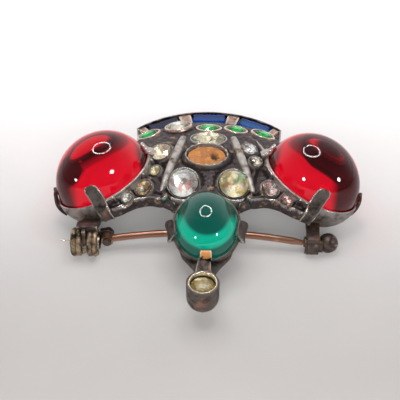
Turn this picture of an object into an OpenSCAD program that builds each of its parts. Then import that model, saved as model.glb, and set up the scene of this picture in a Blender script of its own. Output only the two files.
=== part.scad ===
/* [Crown shell] */
// Height of the dome's crest above the table
crest_z = 7.9; // [7.9:0.1:8.2]
// Thickness of the cast metal on the dome
shell_t = 1.2; // [1:0.1:1.4]
// Depth of the wall round the shell's edge
skirt_depth = 1.8; // [1.6:0.1:2.2]

/* [Band] */
// Outer radius of the curved band at the crown's foot
band_r = 16.2; // [16.1:0.1:16.4]
// Height of the band's outer rim
band_z = 5.2; // [5:0.1:5.4]
// Half of the angle that the band covers
band_half_angle = 44; // [42:0.5:45]
// Length of each blue baguette
baguette_l = 5.3; // [4.8:0.1:5.3]
// Width of each blue baguette
baguette_w = 2.2; // [1.9:0.1:2.2]

/* [Large stones] */
// Half length of a red cabochon
red_a = 7; // [6.8:0.1:7]
// Half width of a red cabochon
red_b = 5; // [4.8:0.1:5]
// Dome height of a red cabochon
red_h = 7; // [6:0.1:7.1]
// Half width of the green cabochon
green_a = 4.3; // [4.1:0.1:4.3]
// Half length of the green cabochon
green_b = 4.9; // [4.7:0.1:4.9]
// Dome height of the green cabochon
green_h = 4.2; // [3.8:0.1:4.5]

/* [Finial] */
// Outer radius of the finial's tube
finial_r = 2.15; // [2:0.05:2.2]
// Height of the tube's rim above the table
finial_z = 6.2; // [6.1:0.1:6.4]

/* [Pin] */
// Radius of the pin's wire
wire_r = 0.5; // [0.4:0.05:0.5]
// How far the pin bows away from a straight line
pin_bow = 1.3; // [1.1:0.1:1.4]
// Outer radius of the spring's coils
coil_r = 2; // [1.95:0.05:2]

/* [Hidden] */

// Clearance round a set stone, clearance between pieces that turn on each other, and a small overlap
gap = 0.06;
run_gap = 0.05;
eps = 0.01;
// Longer than any hole or cut needs
far = 30;

// The dome is the cap of two half ellipsoids, one steeper towards the band
dome_rx = 26;
dome_front = 24;
dome_back = 19.5;
dome_h = 12;
dome_y = 4.9;
dome_base = crest_z - dome_h;
wall_t = 0.9;
// The crown's outline above the band, then the right half of its front edge and sides
CROWN_SIDES = [[-10.4, 14.3], [-12, 6.3], [0, -3.7], [12, 6.3], [10.4, 14.3], [11, 22], [-11, 22]];
FRONT_EDGE = [[4.4, -3.45], [6, -2.7], [8, -2.1], [10.5, -2.1], [13, -3.1], [13.5, 0.3], [10.4, 9.3],
    [10.2, 11.3]];
function dome_z(x, y) = dome_base
    + dome_h * sqrt(1 - pow(x / dome_rx, 2)
        - pow((y - dome_y) / (y < dome_y ? dome_front : dome_back), 2));

// The band is turned about a point inside the crown, with a channel for the baguettes
band_y = 3.7;
band_wall = 0.7;
band_flare = 0.1;
ledge_w = 0.8;
ledge_z = 3.4;
channel_in = 13.2;
channel_out = 15.8;
channel_z = 4.4;
baguette_r = 14.4;
baguette_pitch = 29;
baguette_t = 0.8;

// Girdle centres of the cabochons, with their turns about X, Y and their own axis
red_pos = [14.85, 1.75, 6.5];
red_turn = [-1, 20];
red_yaw = -32;
green_pos = [0, -7.5, 6];
green_turn = [19, 0];
claw_r = 0.6;
rim_w = 0.4;
// How far each bend of a claw stands off the stone, as a part of its radius, and how thin its end is
CLAW_LIFT = [0.8, 0.75, 0.5];
claw_end = 0.75;

// The arm from a red stone's rim to the crown's front edge. Columns: angle on the rim, edge point
ARM = [[-178, [7.6, 7.3, 7.1]], [-150, [7.2, 2.9, 7.2]], [-125, [8, -2.7, 6.7]], [-105, [9.9, -3.2, 6.5]],
    [-86, [12.3, -4.3, 6]], [-68, [13.7, -4.4, 5.4]]];
arm_t = 1.2;
arm_depth = 1.8;

finial_pos = [-0.3, -17.9];
finial_wall = 0.45;
finial_bottom = 1.5;
finial_sink = 0.9;

// The pin runs from its eye to its point, and bows in a plane turned by bow_plane from level
eye = [-13.85, -6.2, 2];
tip = [15.5, -6.3, 1.4];
bow_plane = 45;
eye_r = 0.85;
point_l = 3.5;
point_r = 0.12;
rivet_r = 0.35;
rivet_gap = 0.03;
rivet_head_r = 0.6;
lug_y = eye[1] + wire_r + 0.2;
lug_t = 0.7;
lug_r = 0.85;

coil_x = [-18.3, -17.62, -16.1, -15.42];
coil_y = -6.9;
coil_wire = 0.42;
tail_angle = 52;
tail_l = 1.5;
barrel_r = 1;

catch_x = 13.9;
catch_l = 1.7;
catch_y = tip[1] + 0.1;
catch_z = 1.4;
catch_r = 1.35;
sleeve_r = 1;
sleeve_bore = 0.7;
bore_l = 2.9;
slot_w = 1.24;
knob_x = 17;
knob_y = catch_y + 0.45;
knob_r = 1.4;

// Set stones. Columns: x, y, height above the dome, turns about X and Y, yaw, half length, half width
OVAL = [0, 9.6, 0.1, -9, 0, 0, 2.45, 1.6];
GLUE = [-0.2, 4.7, 0.6, 3, 0, 0, 2.75, 2.1];
ROUND_LEFT = [-3.4, -0.7, 0.3, 26, -8, 0, 2.1, 2.1];
ROUND_RIGHT = [3.7, -0.7, 0.3, 26, 8, 0, 2.1, 2.05];
SIDE_LEFT = [[-6.9, 5.9, 0.6, 8, -18, 0, 1.55, 1.5],
    [-7.5, 1.9, 0.5, 14, -20, 0, 0.8, 0.8],
    [-8.9, -1.6, 0.9, 20, -20, 0, 1.15, 1.15],
    [-11.1, -3.1, 1, 20, -20, 0, 0.75, 0.75]];
SIDE_RIGHT = [[6, 6.7, 0.6, 4, 16, 0, 1.05, 1.05],
    [6.9, 3.9, 0.6, 8, 18, 0, 0.88, 0.88],
    [8.8, -1.5, 0.9, 20, 20, 0, 1.2, 1.2],
    [11, -3.1, 1, 20, 20, 0, 0.8, 0.8]];
ROW = [[-9.2, 12.6, -0.1, -12, -18, 16, 1.5, 0.95],
    [-4.7, 13.6, 0.5, -14, -9, 5, 1.75, 1.35],
    [0, 13.5, 0, -14, 0, 0, 1.6, 1],
    [4.2, 13.4, 0, -14, 9, -7, 1.45, 1],
    [8.3, 12.9, -0.1, -12, 16, -14, 1.5, 0.95]];
SET_STONES = concat([OVAL, GLUE, ROUND_LEFT, ROUND_RIGHT], SIDE_LEFT, SIDE_RIGHT, ROW);

collet_wall = 0.28;
collet_depth = 1.3;
collet_lip = 0.1;
glue_t = 1;
// Seat depth as a part of the stone's half width, and how much wider than its girdle it is
seat_depth = 0.62;
seat_grow = 1.03;

// Ridges cast on the dome. Columns: x, y, thickness
INNER_RIDGE = [[3.8, 9.3, 0.55], [4.7, 4.9, 0.7], [5.6, 1.4, 0.6], [6.3, -1.5, 0.35]];

module side_of(side) mirror([side < 0 ? 1 : 0, 0, 0]) children();

module at_red(side) side_of(side)
    translate(red_pos) rotate([red_turn[0], red_turn[1], 0]) rotate(red_yaw) children();

module at_green() translate(green_pos) rotate([green_turn[0], green_turn[1], 0]) children();

module at_stone(s) translate([s[0], s[1], dome_z(s[0], s[1]) + s[2]])
    rotate([s[3], s[4], 0]) rotate(s[5]) children();

module at_baguette(i) translate([0, band_y, channel_z + gap]) rotate(-i * baguette_pitch)
    translate([0, baguette_r, 0]) children();

module along_x(x, y, z) translate([x, y, z]) rotate([0, 90, 0]) children();

module along_y(x, y, z) translate([x, y, z]) rotate([-90, 0, 0]) children();

module oval(a, b, sides) scale([1, b / a]) circle(a, $fn = sides);

// A domed stone with a short tapered girdle and a flat back
module cabochon(a, b, h, sides, back = 0.5) scale([1, b / a, 1]) {
    intersection() {
        scale([1, 1, h / a]) sphere(a, $fn = sides);
        cylinder(r = 2 * a, h = 2 * h);
    }
    translate([0, 0, -back]) cylinder(r1 = 0.95 * a, r2 = a, h = back + eps, $fn = sides);
}

// One half of a cut stone: two rings of facets up to a flat
module facets(a, b, h, flat) intersection() {
    linear_extrude(h, scale = flat) oval(a, b, 8);
    linear_extrude(h, scale = 1.07 * flat) rotate(22.5) oval(1.02 * a, 1.02 * b, 8);
}

// A cut stone with a table above and a blunt point below
module cut_stone(a, b) {
    facets(a, b, 0.34 * b, 0.58);
    mirror([0, 0, 1]) facets(a, b, 0.5 * b, 0.25);
}

// The ring of metal round a set stone, and the seat cut in it
module collet(s) translate([0, 0, -collet_depth]) linear_extrude(collet_depth + collet_lip)
    oval(s[6] + collet_wall, s[7] + collet_wall, 18);

module stone_pocket(s) translate([0, 0, -seat_depth * s[7]]) linear_extrude(seat_depth * s[7] + 1)
    oval(seat_grow * s[6] + gap, seat_grow * s[7] + gap, 18);

// The ellipsoids of the dome, shrunk by inset
module dome_solid(inset) translate([0, dome_y, dome_base]) for (ry = [dome_front, -dome_back])
    intersection() {
        scale([dome_rx - inset, abs(ry) - inset, dome_h - inset]) sphere(1, $fn = 42);
        translate([-far, ry > 0 ? -far : -eps, 0]) cube([2 * far, far, far]);
    }

// The crown's outline seen from above, without its band and baskets
module plan() offset(r = 0.5, $fn = 12) offset(delta = -0.5) {
    intersection() {
        translate([0, band_y]) circle(channel_in - 0.1, $fn = 60);
        polygon(CROWN_SIDES);
    }
    polygon([for (side = [1, -1], i = [0:len(FRONT_EDGE) - 1])
        let (p = FRONT_EDGE[side > 0 ? i : len(FRONT_EDGE) - 1 - i]) [side * p[0], p[1]]]);
}

module shell() difference() {
    intersection() {
        linear_extrude(far) plan();
        dome_solid(0);
    }
    intersection() {
        linear_extrude(far) offset(delta = -wall_t) plan();
        dome_solid(shell_t);
    }
    dome_solid(skirt_depth);
}

module band() translate([0, band_y, 0]) rotate(90 - band_half_angle)
    rotate_extrude(angle = 2 * band_half_angle, $fn = 80)
        polygon([[band_r, 0], [band_r + band_flare, band_z - 3 * band_flare], [band_r - band_flare, band_z],
            [channel_out, band_z - band_flare], [channel_out, channel_z], [channel_in, channel_z],
            [channel_in, band_z], [channel_in - ledge_w, band_z], [channel_in - ledge_w, ledge_z],
            [band_r - band_wall, ledge_z], [band_r - band_wall, 0]]);

// An open-backed bowl under a cabochon, drawn round three rings: the rim, the belly and the foot
module basket(a, b, depth, opening, taper) {
    rim_h = 1.1;
    rim_z = -0.9;
    ring_h = 0.1;
    belly_z = -0.55 * depth;
    difference() {
        hull() {
            translate([0, 0, rim_z]) linear_extrude(rim_h) oval(a + rim_w, b + rim_w, 30);
            translate([0, 0, belly_z]) linear_extrude(ring_h) oval(a + 0.1, b + 0.1, 30);
            translate([0, 0, -depth]) linear_extrude(ring_h) oval(a - taper, b - taper + 0.2, 22);
        }
        translate([0, 0, -depth - 1]) linear_extrude(depth + 2) oval(a - opening, b - opening, 18);
    }
}

// A point on a cabochon's dome, moved out by r along the surface's normal
function dome_point(a, b, h, t, u) = [a * cos(t) * cos(u), b * sin(t) * cos(u), h * sin(u)];
function unit(v) = v / norm(v);
function out_point(a, b, h, t, u, r) = let (p = dome_point(a, b, h, t, u))
    p + r * unit([p[0] / (a * a), p[1] / (b * b), p[2] / (h * h)]);

// A claw from the basket's side up over the girdle and onto the dome
module claw(a, b, h, t, foot, reach, r, twist = 0) {
    root = dome_point(a - 0.3, b - 0.3, h, t, 0) - [0, 0, foot];
    path = concat([root], [for (k = [0:2])
        out_point(a, b, h, t - (k + 1) / 3 * twist, k / 2 * reach, CLAW_LIFT[k] * r)]);
    for (i = [0:2]) hull() for (k = [i, i + 1])
        translate(path[k]) sphere(r * (k == 3 ? claw_end : 1), $fn = 8);
}

function turn_x(p, a) = [p[0], p[1] * cos(a) - p[2] * sin(a), p[1] * sin(a) + p[2] * cos(a)];
function turn_y(p, a) = [p[0] * cos(a) + p[2] * sin(a), p[1], p[2] * cos(a) - p[0] * sin(a)];
function turn_z(p, a) = [p[0] * cos(a) - p[1] * sin(a), p[0] * sin(a) + p[1] * cos(a), p[2]];
function red_rim(t) = red_pos
    + turn_y(turn_x(turn_z([(red_a + rim_w) * cos(t), (red_b + rim_w) * sin(t), -rim_w], red_yaw),
        red_turn[0]), red_turn[1]);

// A curved plate from a red stone's rim down to the crown's front edge, with a thin ridge along the rim
module arm() for (i = [0:len(ARM) - 2]) {
    hull() for (k = [i, i + 1], p = [red_rim(ARM[k][0]), ARM[k][1]])
        translate(p - [0, 0, (arm_depth - arm_t) / 2]) scale([1, 1, arm_depth / arm_t])
            sphere(arm_t / 2, $fn = 8);
    hull() for (k = [i, i + 1]) translate(red_rim(ARM[k][0]) + [0, 0, 0.5]) sphere(0.3, $fn = 6);
}

module ridge(path) for (i = [0:len(path) - 2]) hull() for (p = [path[i], path[i + 1]])
    translate([p[0], p[1], dome_z(p[0], p[1]) + 0.15]) scale([1, 1, 1.3]) sphere(p[2], $fn = 8);

// A tube with a round closed end, and a seat for its stone
module finial_tube() {
    tube_h = finial_z - finial_bottom - finial_r;
    seat = 2;
    translate([finial_pos[0], finial_pos[1], finial_bottom + finial_r]) difference() {
        union() {
            sphere(finial_r, $fn = 22);
            cylinder(r = finial_r, h = tube_h, $fn = 22);
        }
        translate([0, 0, tube_h - seat]) cylinder(r = finial_r - finial_wall, h = seat + 1, $fn = 22);
    }
}

// The stalk that joins the green basket to the finial's tube
module neck() hull() {
    at_green() translate([0, -1.6, -2.6]) linear_extrude(1.6) oval(2.9, 2.8, 18);
    translate([finial_pos[0], finial_pos[1] + finial_r - 0.3, 4]) sphere(1.2, $fn = 10);
}

// A block under the left basket, a web down to the coil's barrel, and an ear for the pin's rivet
module hinge_bracket() {
    web_x = -17.1;
    web_t = 0.5;
    barrel_end = -14.8;
    block_z = 2 * coil_r + 0.25;
    cheek_t = 0.1;
    ear_h = 1.4;
    hull() {
        along_x(web_x, coil_y, coil_r) cylinder(r = barrel_r, h = web_t, $fn = 16);
        translate([web_x, coil_y - 0.8, block_z - 0.15]) cube([web_t, 1.8, web_t]);
    }
    along_x(coil_x[0] - coil_wire, coil_y, coil_r)
        cylinder(r = barrel_r, h = barrel_end - coil_x[0] + coil_wire, $fn = 20);
    hull() {
        translate([-17.9, -6.9, block_z]) cube([2.9, 1, 0.6]);
        translate([-17.2, -4.6, block_z - 0.9]) cube([2.4, 1.6, 0.7]);
    }
    hull() {
        along_y(eye[0], lug_y, eye[2]) cylinder(r = lug_r, h = lug_t, $fn = 18);
        translate([barrel_end - cheek_t, lug_y, coil_r - ear_h / 2]) cube([3 * cheek_t, lug_t, ear_h]);
    }
    hull() {
        along_x(barrel_end - cheek_t, coil_y, coil_r) cylinder(r = barrel_r, h = cheek_t, $fn = 16);
        translate([barrel_end - cheek_t, lug_y, coil_r - ear_h / 2]) cube([cheek_t, lug_t, ear_h]);
    }
}

// A slotted ring for the turning sleeve, on a post under the right basket
module catch_housing() {
    post_w = 1.8;
    difference() {
        union() {
            along_x(catch_x, catch_y, catch_z) cylinder(r = catch_r, h = catch_l, $fn = 28);
            hull() {
                translate([catch_x, catch_y - post_w / 2, catch_z + 1]) cube([catch_l, post_w, 0.9]);
                translate([catch_x, -3.9, 2.5]) cube([1.9, 1.4, 0.8]);
            }
        }
        along_x(catch_x - 1, catch_y, catch_z) cylinder(r = sleeve_r + run_gap, h = catch_l + 2, $fn = 28);
        catch_slot();
    }
}

module catch_slot() translate([catch_x - 1, catch_y - slot_w / 2, -1])
    cube([bore_l, slot_w, catch_z + 1]);

module crown_frame() color([0.36, 0.35, 0.34]) difference() {
    union() {
        shell();
        band();
        for (s = SET_STONES) at_stone(s) collet(s);
        for (side = [-1, 1]) {
            side_of(side) ridge(INNER_RIDGE);
            side_of(side) arm();
            at_red(side) {
                basket(red_a, red_b, 4.2, 2.4, 1.1);
                for (t = [15, 180]) claw(red_a, red_b, red_h, t, 1.4, 14, claw_r);
                claw(red_a, red_b, red_h, -74, 3, 20, 1.3 * claw_r, -12);
            }
        }
        at_green() {
            basket(green_a, green_b, 2.8, 2.2, 1.5);
            for (t = [0, 180]) claw(green_a, green_b, green_h, t, 1.8, 18, 1.3 * claw_r);
            claw(green_a, green_b, green_h, -90, 1.8, 20, claw_r);
        }
        neck();
        finial_tube();
        hinge_bracket();
        catch_housing();
    }
    for (s = SET_STONES) at_stone(s) stone_pocket(s);
    for (side = [-1, 1]) at_red(side) cabochon(red_a + gap, red_b + gap, red_h + gap, 32, 0.5 + gap);
    at_green() cabochon(green_a + gap, green_b + gap, green_h + gap, 30, 0.5 + gap);
    along_y(eye[0], lug_y - 1, eye[2]) cylinder(r = rivet_r + rivet_gap, h = lug_t + 2, $fn = 24);
}

module red_cabochon(side) color([0.75, 0.03, 0.08, 0.8]) at_red(side) cabochon(red_a, red_b, red_h, 32);

module green_cabochon() color([0, 0.45, 0.35, 0.8]) at_green() cabochon(green_a, green_b, green_h, 30);

module finial_stone() color([0.75, 0.68, 0.42, 0.9])
    translate([finial_pos[0], finial_pos[1], finial_z - finial_sink])
        cut_stone(finial_r - finial_wall - gap, finial_r - finial_wall - gap);

module small_stone(s, tint) color(tint) at_stone(s) cut_stone(s[6], s[7]);

// Old glue in the setting that has lost its stone
module glue_bed() color([0.72, 0.47, 0.2]) at_stone(GLUE) translate([0, 0, -glue_t - collet_lip])
    linear_extrude(glue_t) oval(GLUE[6], GLUE[7], 24);

module baguette(i) color([0.05, 0.15, 0.6, 0.85]) at_baguette(i)
    linear_extrude(baguette_t, scale = [0.92, 0.7]) square([baguette_l, baguette_w], center = true);

module spring_coil() color([0.6, 0.48, 0.28]) {
    ring_r = coil_r - coil_wire;
    for (x = coil_x) along_x(x, coil_y, coil_r)
        rotate_extrude($fn = 48) translate([ring_r, 0]) circle(coil_wire, $fn = 20);
    along_x(coil_x[1], coil_y, coil_wire)
        cylinder(r = 0.9 * coil_wire, h = coil_x[2] - coil_x[1], $fn = 20);
    along_x(coil_x[0] - tail_l - 0.3, coil_y - ring_r * cos(tail_angle), coil_r + ring_r * sin(tail_angle))
        cylinder(r1 = 0.08, r2 = 0.18, h = tail_l + 0.3, $fn = 16);
}

module hinge_rivet() color([0.5, 0.4, 0.3]) {
    head_t = 0.3;
    front = eye[1] - wire_r - run_gap;
    back = lug_y + lug_t + run_gap;
    along_y(eye[0], front - head_t, eye[2]) cylinder(r = rivet_head_r, h = head_t, $fn = 24);
    along_y(eye[0], front - eps, eye[2]) cylinder(r = rivet_r, h = back - front + 2 * eps, $fn = 24);
    along_y(eye[0], back, eye[2]) cylinder(r = rivet_head_r, h = head_t, $fn = 24);
}

// The pin: an eye, an arc of wire and a tapered point
module pin_stem() color([0.7, 0.4, 0.28]) {
    run = tip - eye;
    chord = norm(run);
    bow_r = chord * chord / (8 * pin_bow) + pin_bow / 2;
    half_angle = asin(chord / (2 * bow_r));
    point_angle = 180 * point_l / (PI * bow_r);
    difference() {
        union() {
            along_y(eye[0], eye[1] - wire_r - eps, eye[2])
                cylinder(r = eye_r, h = 2 * (wire_r + eps), $fn = 32);
            translate(eye) rotate([0, -asin(run[2] / chord), atan2(run[1], run[0])])
                rotate([bow_plane, 0, 0]) translate([chord / 2, pin_bow - bow_r, 0])
                rotate(90 - half_angle + point_angle) {
                    rotate_extrude(angle = 2 * half_angle - point_angle, $fn = 360)
                        translate([bow_r, 0]) circle(wire_r, $fn = 24);
                    translate([bow_r, eps, 0]) rotate([90, 0, 0])
                        cylinder(r1 = wire_r - eps / 2, r2 = point_r, h = point_l, $fn = 24);
                }
        }
        along_y(eye[0], eye[1] - 1, eye[2]) cylinder(r = rivet_r + run_gap, h = 2, $fn = 32);
    }
}

// A slotted sleeve that turns in the catch, with a dished round knob at its end
module catch_barrel() color([0.4, 0.3, 0.22]) {
    start = catch_x - 0.25;
    collar_t = 0.2;
    knob = [knob_x, knob_y, catch_z];
    dish = knob + [0.85, -1, 1.05];
    difference() {
        union() {
            along_x(start, catch_y, catch_z) cylinder(r = sleeve_r, h = catch_l + 0.8, $fn = 32);
            along_x(start, catch_y, catch_z) cylinder(r = sleeve_r + collar_t, h = collar_t, $fn = 32);
            translate(knob) sphere(knob_r, $fn = 40);
        }
        along_x(catch_x - 1, catch_y, catch_z) cylinder(r = sleeve_bore, h = bore_l, $fn = 32);
        catch_slot();
        translate(dish) sphere(0.9, $fn = 32);
    }
}

GREEN = [0.1, 0.55, 0.25, 0.9];
CLEAR = [0.9, 0.9, 0.85, 0.9];
YELLOW = [0.9, 0.86, 0.6, 0.9];
PINK = [0.9, 0.75, 0.68, 0.9];

crown_frame();
red_cabochon(-1);  // red_cabochon_left
red_cabochon(1);  // red_cabochon_right
green_cabochon();
finial_stone();
small_stone(OVAL, CLEAR);  // oval_stone
glue_bed();
small_stone(ROUND_LEFT, CLEAR);  // round_stone_left
small_stone(ROUND_RIGHT, YELLOW);  // round_stone_right
small_stone(SIDE_LEFT[0], YELLOW);  // side_stone_left_1
small_stone(SIDE_LEFT[1], YELLOW);  // side_stone_left_2
small_stone(SIDE_LEFT[2], PINK);  // side_stone_left_3
small_stone(SIDE_LEFT[3], CLEAR);  // side_stone_left_4
small_stone(SIDE_RIGHT[0], CLEAR);  // side_stone_right_1
small_stone(SIDE_RIGHT[1], CLEAR);  // side_stone_right_2
small_stone(SIDE_RIGHT[2], PINK);  // side_stone_right_3
small_stone(SIDE_RIGHT[3], PINK);  // side_stone_right_4
small_stone(ROW[0], GREEN);  // row_stone_1
small_stone(ROW[1], CLEAR);  // row_stone_2
small_stone(ROW[2], GREEN);  // row_stone_3
small_stone(ROW[3], GREEN);  // row_stone_4
small_stone(ROW[4], GREEN);  // row_stone_5
baguette(-1);  // baguette_left
baguette(0);  // baguette_centre
baguette(1);  // baguette_right
spring_coil();
hinge_rivet();
pin_stem();
catch_barrel();
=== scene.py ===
# %% [markdown]
# # A worn crown brooch
# The brooch is an old costume piece: one silver casting with tarnish in every hollow, three domed glass
# stones, a scatter of foiled crystals, and a pin with a turning catch behind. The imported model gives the
# frame: where each stone sits and how the pin moves. This lesson dresses that frame, piece by piece.

# %% Load the frame
import math
from collections import namedtuple

import bmesh
import bpy
import numpy as np
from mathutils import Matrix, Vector, noise


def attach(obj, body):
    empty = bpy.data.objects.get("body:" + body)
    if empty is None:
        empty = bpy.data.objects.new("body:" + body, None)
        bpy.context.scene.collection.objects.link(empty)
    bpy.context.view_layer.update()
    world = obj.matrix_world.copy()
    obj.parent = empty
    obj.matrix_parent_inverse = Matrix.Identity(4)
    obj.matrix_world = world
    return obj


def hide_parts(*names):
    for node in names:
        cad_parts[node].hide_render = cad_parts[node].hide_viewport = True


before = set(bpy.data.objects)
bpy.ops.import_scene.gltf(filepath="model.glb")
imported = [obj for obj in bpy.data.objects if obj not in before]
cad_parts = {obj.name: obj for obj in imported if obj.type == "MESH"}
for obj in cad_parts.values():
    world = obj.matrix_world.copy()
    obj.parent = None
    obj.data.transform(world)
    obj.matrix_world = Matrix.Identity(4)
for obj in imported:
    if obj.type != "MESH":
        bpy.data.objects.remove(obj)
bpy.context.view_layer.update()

# %% [markdown]
# ## Small tools for the bench
# All sizes below are in millimetres, as a jeweller would give them, and are turned into metres in one
# place. A piece is made from lists of points and faces, because cast and forged shapes follow curves that
# are easier to state as numbers than to push by hand. Each new piece is fixed to the root body and takes
# the place of one of the frame's plain solids.

# %% Make a mesh piece
MM = 0.001


def make_piece(name, skin, node, smooth=True):
    """A closed mesh with its faces turned outwards. The skin is its points and its faces."""
    points, faces = skin
    mesh = bpy.data.meshes.new(name)
    mesh.from_pydata((np.asarray(points) * MM).tolist(), [], faces)
    bm = bmesh.new()
    bm.from_mesh(mesh)
    bmesh.ops.recalc_face_normals(bm, faces=bm.faces)
    bm.to_mesh(mesh)
    bm.free()
    mesh.polygons.foreach_set("use_smooth", [smooth] * len(mesh.polygons))
    piece = bpy.data.objects.new(name, mesh)
    bpy.context.scene.collection.objects.link(piece)
    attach(piece, "root")
    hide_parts(node)
    return piece


print("one millimetre is", MM, "in the scene")

# %% [markdown]
# ## Rings into a skin
# Most of the shapes are lofts: rings of points, all of one length, joined by rows of four-sided faces. A
# dome, a turned tube and a bent wire are all made so, and only their rings differ.


# %% Loft
def loft(rings, closed=False):
    """Joins rings into a skin. A closed loft runs back into its first ring, and any other gets two ends."""
    count, n = len(rings), len(rings[0])
    faces = []
    for k in range(count if closed else count - 1):
        a, b = k * n, (k + 1) % count * n
        faces += [(a + i, a + (i + 1) % n, b + (i + 1) % n, b + i) for i in range(n)]
    if not closed:
        faces += [tuple(range(n)), tuple(range((count - 1) * n, count * n))]
    return np.concatenate([np.asarray(ring, float) for ring in rings]), faces


def around(sides):
    """Angles at equal steps all the way round."""
    return np.linspace(0, 2 * math.pi, sides, endpoint=False)


def oval_ring(a, b, z, sides):
    """A level oval ring with half sizes a and b."""
    t = around(sides)
    return np.stack([a * np.cos(t), b * np.sin(t), np.full(sides, z)], 1)


print("a drum of two rings of 8 has", len(loft([oval_ring(1, 1, z, 8) for z in (0, 1)])[1]), "faces")

# %% [markdown]
# ## Where things sit
# The dome of the crown is two half ellipsoids, steeper towards the band. Each stone has a place on it, a
# height above it and a tilt, the same numbers as in the solid model. A skin is shaped flat on the bench,
# round the origin, and is then turned and carried to its place by a matrix and a shift.

# %% Turns
X, Y, Z = 0, 1, 2


def turn_about(axis, degrees):
    """The matrix that turns points about an axis."""
    c, s = math.cos(math.radians(degrees)), math.sin(math.radians(degrees))
    j, k = (axis + 1) % 3, (axis + 2) % 3
    turn = np.eye(3)
    turn[j, j] = turn[k, k] = c
    turn[j, k], turn[k, j] = -s, s
    return turn


def put(skin, at, turn):
    """The same skin, turned and carried to its place."""
    return skin[0] @ turn.T + at, skin[1]


def on_side(skin, side):
    """The skin as it is, or mirrored for the brooch's left side, which is -1."""
    return skin if side > 0 else (skin[0] * [-1, 1, 1], skin[1])


print("X turned a quarter about Z", (turn_about(Z, 90) @ [1, 0, 0]).round(3))

# %% The dome
DOME_Y, DOME_X_R, DOME_FRONT, DOME_BACK, DOME_H, DOME_BASE = 4.9, 26, 24, 19.5, 12, -4.1


def dome_z(x, y, depth=0):
    """Height of the dome over x, y, or of a smaller dome that lies a depth below it."""
    x, y = np.asarray(x), np.asarray(y)
    reach_y = np.where(y < DOME_Y, DOME_FRONT, DOME_BACK) - depth
    inside = 1 - (x / (DOME_X_R - depth)) ** 2 - ((y - DOME_Y) / reach_y) ** 2
    return DOME_BASE + (DOME_H - depth) * np.sqrt(np.maximum(inside, 0.01))


print("crest", round(float(dome_z(0, DOME_Y)), 2))

# %% The domed stones' places
# A size is half the length, half the width, and the height.
RED_AT, RED_SIZE = np.array([14.85, 1.75, 6.5]), (7, 5, 6.99)
RED_TURN = turn_about(Y, 20) @ turn_about(X, -1) @ turn_about(Z, -32)
GREEN_AT, GREEN_SIZE = np.array([0, -7.5, 6.0]), (4.3, 4.9, 4.2)
GREEN_TURN = turn_about(X, 19)


def by_red(skin, side):
    return on_side(put(skin, RED_AT, RED_TURN), side)


def by_green(skin):
    return put(skin, GREEN_AT, GREEN_TURN)


print("red stone's way up", RED_TURN[:, Z].round(2), "green stone's way up", GREEN_TURN[:, Z].round(2))

# %% The small stones' places
# Each has x, y, its height above the dome, three turns in degrees, and half its length and width, a and b.
Stone = namedtuple("Stone", "x y rise turn_x turn_y turn_z a b")
OVAL = Stone(0, 9.6, 0.1, -9, 0, 0, 2.45, 1.6)
GLUE = Stone(-0.2, 4.7, 0.6, 3, 0, 0, 2.75, 2.1)
ROUND = {"left": Stone(-3.4, -0.7, 0.3, 26, -8, 0, 2.1, 2.1),
         "right": Stone(3.7, -0.7, 0.3, 26, 8, 0, 2.1, 2.05)}
SIDE = {"left_1": Stone(-6.9, 5.9, 0.6, 8, -18, 0, 1.55, 1.5),
        "left_2": Stone(-7.5, 1.9, 0.5, 14, -20, 0, 0.8, 0.8),
        "left_3": Stone(-8.9, -1.6, 0.9, 20, -20, 0, 1.15, 1.15),
        "left_4": Stone(-11.1, -3.1, 1, 20, -20, 0, 0.75, 0.75),
        "right_1": Stone(6, 6.7, 0.6, 4, 16, 0, 1.05, 1.05),
        "right_2": Stone(6.9, 3.9, 0.6, 8, 18, 0, 0.88, 0.88),
        "right_3": Stone(8.8, -1.5, 0.9, 20, 20, 0, 1.2, 1.2),
        "right_4": Stone(11, -3.1, 1, 20, 20, 0, 0.8, 0.8)}
ROW = {1: Stone(-9.2, 12.6, -0.1, -12, -18, 16, 1.5, 0.95),
       2: Stone(-4.7, 13.6, 0.5, -14, -9, 5, 1.75, 1.35),
       3: Stone(0, 13.5, 0, -14, 0, 0, 1.6, 1),
       4: Stone(4.2, 13.4, 0, -14, 9, -7, 1.45, 1),
       5: Stone(8.3, 12.9, -0.1, -12, 16, -14, 1.5, 0.95)}
STONES = [OVAL, GLUE, *ROUND.values(), *SIDE.values(), *ROW.values()]


def seat(stone):
    """The place of a small stone's girdle and the turn of the stone."""
    at = np.array([stone.x, stone.y, float(dome_z(stone.x, stone.y)) + stone.rise])
    return at, turn_about(Y, stone.turn_y) @ turn_about(X, stone.turn_x) @ turn_about(Z, stone.turn_z)


print("small settings", len(STONES), "the empty one at", seat(GLUE)[0].round(2))

# %% [markdown]
# ## Camera and studio
# The photograph looks down at the crown's top end from 42 degrees, with a short telephoto. A ring of small
# lamps hangs over the brooch, which is why each domed stone carries a small white ring near its top. The
# rest of the light is a pale tent, here the world colour, brighter behind the brooch than in front. Two
# small lamps low in front leave a glint on each stone, and a wide weak one fills the shadows without
# showing in any reflection.

# %% Camera
AIM = np.array([-1.15, 4.4, 0])
AZIMUTH, ELEVATION, DISTANCE = math.radians(1.3), math.radians(42), 125
away = np.array([math.sin(AZIMUTH) * math.cos(ELEVATION), -math.cos(AZIMUTH) * math.cos(ELEVATION),
                 math.sin(ELEVATION)])


def aim(thing, target):
    """Turns a camera or a lamp towards a point."""
    thing.rotation_euler = (Vector(target) - thing.location).to_track_quat("-Z", "Y").to_euler()


camera = bpy.data.objects.new("camera", bpy.data.cameras.new("camera"))
camera.location = (AIM + DISTANCE * away) * MM
camera.data.lens = 74.7
camera.data.sensor_width = 36
camera.data.clip_start = 0.005
aim(camera, AIM * MM)
bpy.context.scene.collection.objects.link(camera)
bpy.context.scene.camera = camera
print("camera", [round(v, 4) for v in camera.location])


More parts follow.
